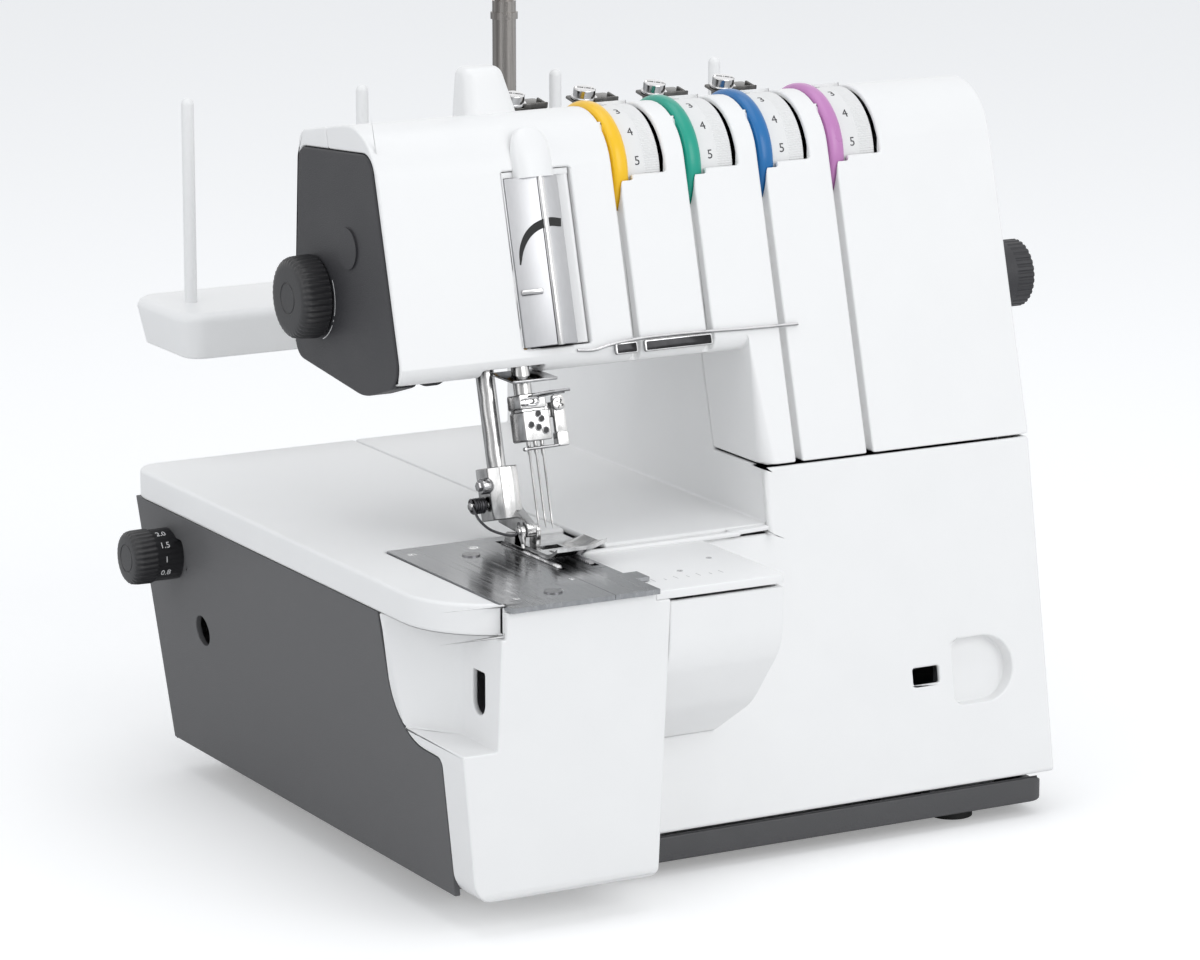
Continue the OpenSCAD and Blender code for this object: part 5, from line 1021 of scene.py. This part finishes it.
# %% [markdown]
# ## Thread guides on the crest
# Each guide is a bent plate with a pressing disc and a big slotted screw. The four are alike, so one loop makes
# them, tilted by ten degrees as the crest falls to the back.


# %% Thread guides on the crest
def slotted(r, top, slot, depth, n=72):
    """(points, faces) of a round head whose crown sinks by depth along a slot of the given width."""
    a = np.linspace(0, 2 * math.pi, n, endpoint=False)
    rows = [np.column_stack([r * np.cos(a), r * np.sin(a), np.full(n, h)]) for h in (0, top - 0.5)]
    for q in (0.97, 0.93, 0.86, 0.78, 0.7, 0.62, 0.54, 0.46, 0.38, 0.3, 0.22, 0.14, 0.06, 0.01):
        across = np.abs(r * q * np.sin(a + 0.6))
        rows.append(np.column_stack([r * q * np.cos(a), r * q * np.sin(a),
                                     top - 0.3 * q ** 6 - depth * (across < slot / 2)]))
    return closed_rows(np.array(rows))


def bar(x0, x1, y0, y1, z0, z1, r, edge=0.3):
    """Rows of a flat bar with upright sides: corner radius r, edge radius edge."""
    return slab(rectangle(x0, x1, y0, y1, r), z0, z1, edge)


TILT = math.radians(10)
GUIDE = ((1, 0, 0), (0, math.cos(TILT), math.sin(TILT)), (0, -math.sin(TILT), math.cos(TILT)))
GUIDE_X0, GUIDE_PITCH, DISC_X = -62.5, 32.4, -3
for k in range(4):
    x = GUIDE_X0 + GUIDE_PITCH * k
    at = (x, -23.0, 295.3)
    bent = [bar(-9, 10, -5.5, 5.5, 0, 1.0, (1.6, 0.8, 1.6, 1.6)), bar(-1, 10, -5.6, -4.6, 0.2, 2.6, 0.3),
            bar(8.9, 10, -5.5, 2.5, 0.2, 2.2, 0.3)]
    parts = [closed_rows(placed(rows, at, *GUIDE)) for rows in bent]
    parts.append(closed_rows(bar(x - 6, x + 5, -25.8, -18.6, 292.0, 295.1, 0.8, 0.4)))
    joined("guide_plate_%d" % (k + 1), parts, "frame", "dark_nickel", None, "pretension_guides")
    disc = placed(lathe(rounded_rod(1.0, 2.1, 5.4, 0.4), 60), np.array(at) + np.array(GUIDE[0]) * DISC_X, *GUIDE)
    head, faces = slotted(4.5, 3.5, 1.3, 1.3)
    head = placed(head + (DISC_X, 0, 2.1), at, *GUIDE)
    joined("guide_screw_%d" % (k + 1), [closed_rows(disc), (head, faces)], "frame", "bright_plated", None,
           "pretension_guides", crease=25)
print("guides: 4")

# %% [markdown]
# ## Table beside the needle plate
# A white sheet with plain marks lies beside the plate, two small screws hold it, and a raised edge closes it at
# the back. Its parts are bars with soft edges, and the marks are thin bars 0.04 mm above the sheet.

# %% Table beside the needle plate
TABLE_TOP = 131.0
table = [bar(-85.4, -28, -175, -107, 127.5, TABLE_TOP, (0.6, 2.5, 1.5, 0.6), 0.5),
         bar(-66, -32, -112, -97.2, 127.6, 130.0, 0.5),
         bar(-82, -10.2, -111.4, -108.2, 130.5, 132.5, 1.2, 0.9)]
step = outline([[-14, -110.4, 0.6], [4.2, -108.6, 0.6], [4.2, -105.2, 0.6], [-14, -105.2, 0.6]])
table.append(slab(step, 130.9, 132.7, 0.5))
joined("work_table", [closed_rows(rows) for rows in table], "frame", "moulded_white", None, "ruler_table")
marks = []
for k in range(7):
    x0, long = -78 + k * 5, (4.0 if k % 2 == 0 else 2.5)
    p = rectangle(x0, x0 + 0.35, -161, long - 161, 0.1, 3)
    marks.append(closed_rows(slab(p, TABLE_TOP - 0.1, TABLE_TOP + 0.04, 0.02)))
joined("table_marks", marks, "frame", "mark_grey", "white_shell", "ruler_table")


def sunk_screws(name, screws, z, depth, n, *more):
    """Slotted heads at (x, y, r, top, slot) that stand at height z."""
    heads = []
    for x, y, r, top, slot in screws:
        points, faces = slotted(r, top, slot, depth, n)
        heads.append((placed(points, (x, y, z), X_AXIS, Y_AXIS, Z_AXIS), faces))
    joined(name, heads, "frame", *more, crease=25)


sunk_screws("table_screws", [(-61.0, -150.5, 1.7, 0.25, 0.5), (-40.5, -137.5, 1.7, 0.25, 0.5)], 130.85, 0.5, 40,
            "dark_chrome", "shaft_steel", "ruler_table")
print("table bars:", len(table), "marks:", len(marks))

# %% [markdown]
# ## Wall seal and needle plate screws
# Where tower and throat meet, a narrow white seal closes the joint. It is one grid, whose four rows follow the
# wall's lean. Small slotted screws hold the needle plate, made like those of the table.

# %% Wall seal and needle plate screws
PLATE_SCREWS = ((-143.5, -84.5, 2.3), (-117.1, -85.7, 2.9), (-107.8, -148.8, 1.3), (-120.7, -161.5, 2.9),
                (-141.0, -166.0, 1.6))
seal = [np.column_stack([[5.1, 7.3, 7.3, 5.1], y + np.array([-0.19, -0.19, 0.19, 0.19]), np.full(4, z)])
        for z, y in ((133.6, -104.9), (134.5, -104.75), (145.0, -102.95), (154.3, -101.35))]
piece("wall_seal", np.array(seal), "frame", "moulded_white", "white_shell")
sunk_screws("plate_screws", [(x, y, r, 0.22, r * 0.28) for x, y, r in PLATE_SCREWS], 132.9, 0.45, 48,
            "bright_plated", "shaft_steel", None)
print("plate screws:", len(PLATE_SCREWS))

# %% [markdown]
# ## Spool stand
# The stand is a long tray with soft corners. Its sides draw in a little toward the bottom, and the top edge is a
# quarter round of 4 mm. The mast passes through it, so a Boolean modifier drills a real hole, and its result is
# kept as the mesh.

# %% Spool stand
MAST_X, MAST_Y, MAST_HOLE_R = 22.6, 150, 6.05


def drill(ob, low, r, height):
    """Cuts an upright round hole by a Boolean modifier, whose result becomes the object's mesh."""
    points, faces = closed_rows(lathe([(0, r), (height, r)], 48) + low)
    data = bpy.data.meshes.new("drill")
    data.from_pydata((points * MM).tolist(), [], faces)
    tool = bpy.data.objects.new("drill", data)
    scene.collection.objects.link(tool)
    cut = ob.modifiers.new("hole", "BOOLEAN")
    cut.object, cut.operation, cut.solver = tool, "DIFFERENCE", "EXACT"
    bpy.context.view_layer.update()
    result = bpy.data.meshes.new_from_object(ob.evaluated_get(bpy.context.evaluated_depsgraph_get()))
    ob.modifiers.remove(cut)
    ob.data = result
    bpy.data.objects.remove(tool)


def stand_rows():
    """Outline inset by w at height z, from the ceiling of its hollow, down and round the rim, up the side with
    w = 3.4 (1 - k), then over the top edge with w = 4 (1 - cos t)."""
    steps = [(7.5, 188.8), (7.5, 173.6), (6.9, 173.0), (4.4, 173.0), (3.7, 173.3), (3.4, 174.2)]
    steps += [(3.4 * (1 - k), 174.2 + 14.8 * k) for k in (0.25, 0.5, 0.75, 1)]
    steps += [(4 * (1 - math.cos(t)), 189 + 4 * math.sin(t)) for t in np.linspace(0.2, math.pi / 2, 8)]
    return stacked(rectangle(-145.9, 191.1, 120.6, 179.3, 12, 12), steps)


brackets = [closed_rows(bar(x, x + 22, 90.2, 126, 176, 188, 1, 0.8)) for x in (13, 100)]
tray = joined("stand_tray", [closed_rows(stand_rows())] + brackets, "frame", "moulded_white", None, "spool_stand",
              crease=60)
drill(tray, (MAST_X, MAST_Y, 160), MAST_HOLE_R, 40)
print("stand faces after drilling:", len(tray.data.polygons))

# %% [markdown]
# ## Pressure dial
# The dial is a black drum with 40 ribs and a soft front edge, over a collar that carries a white scale: a line
# that runs a part of a turn, and two short dashes. The drum is the same ribbed turning as the tension wheels.

# %% Pressure dial
PRESSURE_Y, PRESSURE_Z = -16, 225
SCALE_R = 17.35
DRUM = [(-150.6, 6, 0), (-150.6, 15.5, 0), (-151.2, 16.4, 0.3), (-152.2, 16.8, 1), (-159.5, 16.5, 1),
        (-161.2, 16.0, 0.8), (-162.3, 15.0, 0.3), (-162.85, 13.6, 0), (-163, 12.0, 0), (-163, 6.6, 0),
        (-162.7, 6.3, 0), (-162.7, 6.0, 0), (-163, 5.7, 0), (-163, 0.4, 0)]
COLLAR = [(-142, 5, 0), (-150.2, 5, 0), (-150.2, 18.2, 0), (-149.6, 18.5, 0), (-146.0, 18.5, 0), (-146.0, 8, 0),
          (-142, 8, 0)]
piece("pressure_drum", on_x(ribbed(DRUM, 40, 0.9, 8), PRESSURE_Y, PRESSURE_Z), "pressure", "black_plastic", None,
      "pressure_dial", crease=40)
piece("pressure_collar", on_x(ribbed(COLLAR, 12, 0.0, 8), PRESSURE_Y, PRESSURE_Z)[:, ::-1], "pressure",
      "black_plastic", None, "pressure_dial")
dashes = []
for a0, a1 in ((150, 198), (204, 207), (213, 250)):
    a = np.radians(np.linspace(a0, a1, max(a1 - a0, 3)))
    line = np.column_stack([np.full(len(a), -150.25), PRESSURE_Y + SCALE_R * np.cos(a),
                            PRESSURE_Z + SCALE_R * np.sin(a)])
    dashes.append(closed_rows(tube(line, 0.32, 8)))
joined("pressure_scale", dashes, "pressure", "ink_white", "white_shell", "pressure_dial")
print("scale lines:", len(dashes))

# %% [markdown]
# ## Feed dial
# The feed dial on the bed's left side is a smaller drum of the same kind, with its numbers on a plain band
# between the ribs and the bed's panel.

# %% Feed dial
FEED_Y, FEED_Z = 85, 101
BAND_R, BAND_X = 10.9, -176.9
FEED = [(-156.2, 5, 0), (-156.2, 11.2, 0), (-157.0, 11.5, 0), (-159.0, 11.5, 0), (-159.4, BAND_R, 0),
        (-180.2, BAND_R, 0), (-180.7, 11.3, 0.4), (-181.3, 11.5, 1), (-187.0, 11.4, 1), (-189.2, 11.0, 0.6),
        (-190.2, 10.0, 0.2), (-190.5, 8.6, 0), (-190.5, 6.2, 0), (-190.2, 5.9, 0), (-190.2, 5.6, 0),
        (-190.5, 5.3, 0), (-190.5, 0.4, 0)]
piece("feed_drum", on_x(ribbed(FEED, 30, 0.7, 8), FEED_Y, FEED_Z), "feed_setting", "black_plastic", None,
      "feed_dial", crease=40)
for text, degrees in (("2.0", 64), ("1.5", 33), ("1", 1), ("0.8", -31)):
    letters("feed_number_%s" % text.replace(".", "_"), text, 3.7,
            lambda flat: round_drum(flat, BAND_X, FEED_Y, FEED_Z, BAND_R, math.radians(degrees)),
            "feed_setting", "ink_white", "white_shell")

# %% [markdown]
# ## Sizes
# The dressed model must stay inside the box of the solids, so the last cell measures every piece with its
# modifiers applied and names those that reach past the box.

# %% Name the pieces that reach past the box of the solids
import json

TOLERANCE = 1e-5
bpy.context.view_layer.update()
bpy.context.view_layer.update()
graph = bpy.context.evaluated_depsgraph_get()
for ob in scene.objects:
    if ob.type == "MESH" and ob is not floor and ob.name not in NODES:
        shape = ob.evaluated_get(graph).to_mesh()
        co = np.empty(len(shape.vertices) * 3)
        shape.vertices.foreach_get("co", co)
        co = co.reshape(-1, 3)
        over = np.maximum(CAD_BOX[0] - co.min(0), co.max(0) - CAD_BOX[1]).max()
        if over > TOLERANCE:
            print("outside the box by", round(over * 1000, 2), "mm:", ob.name)
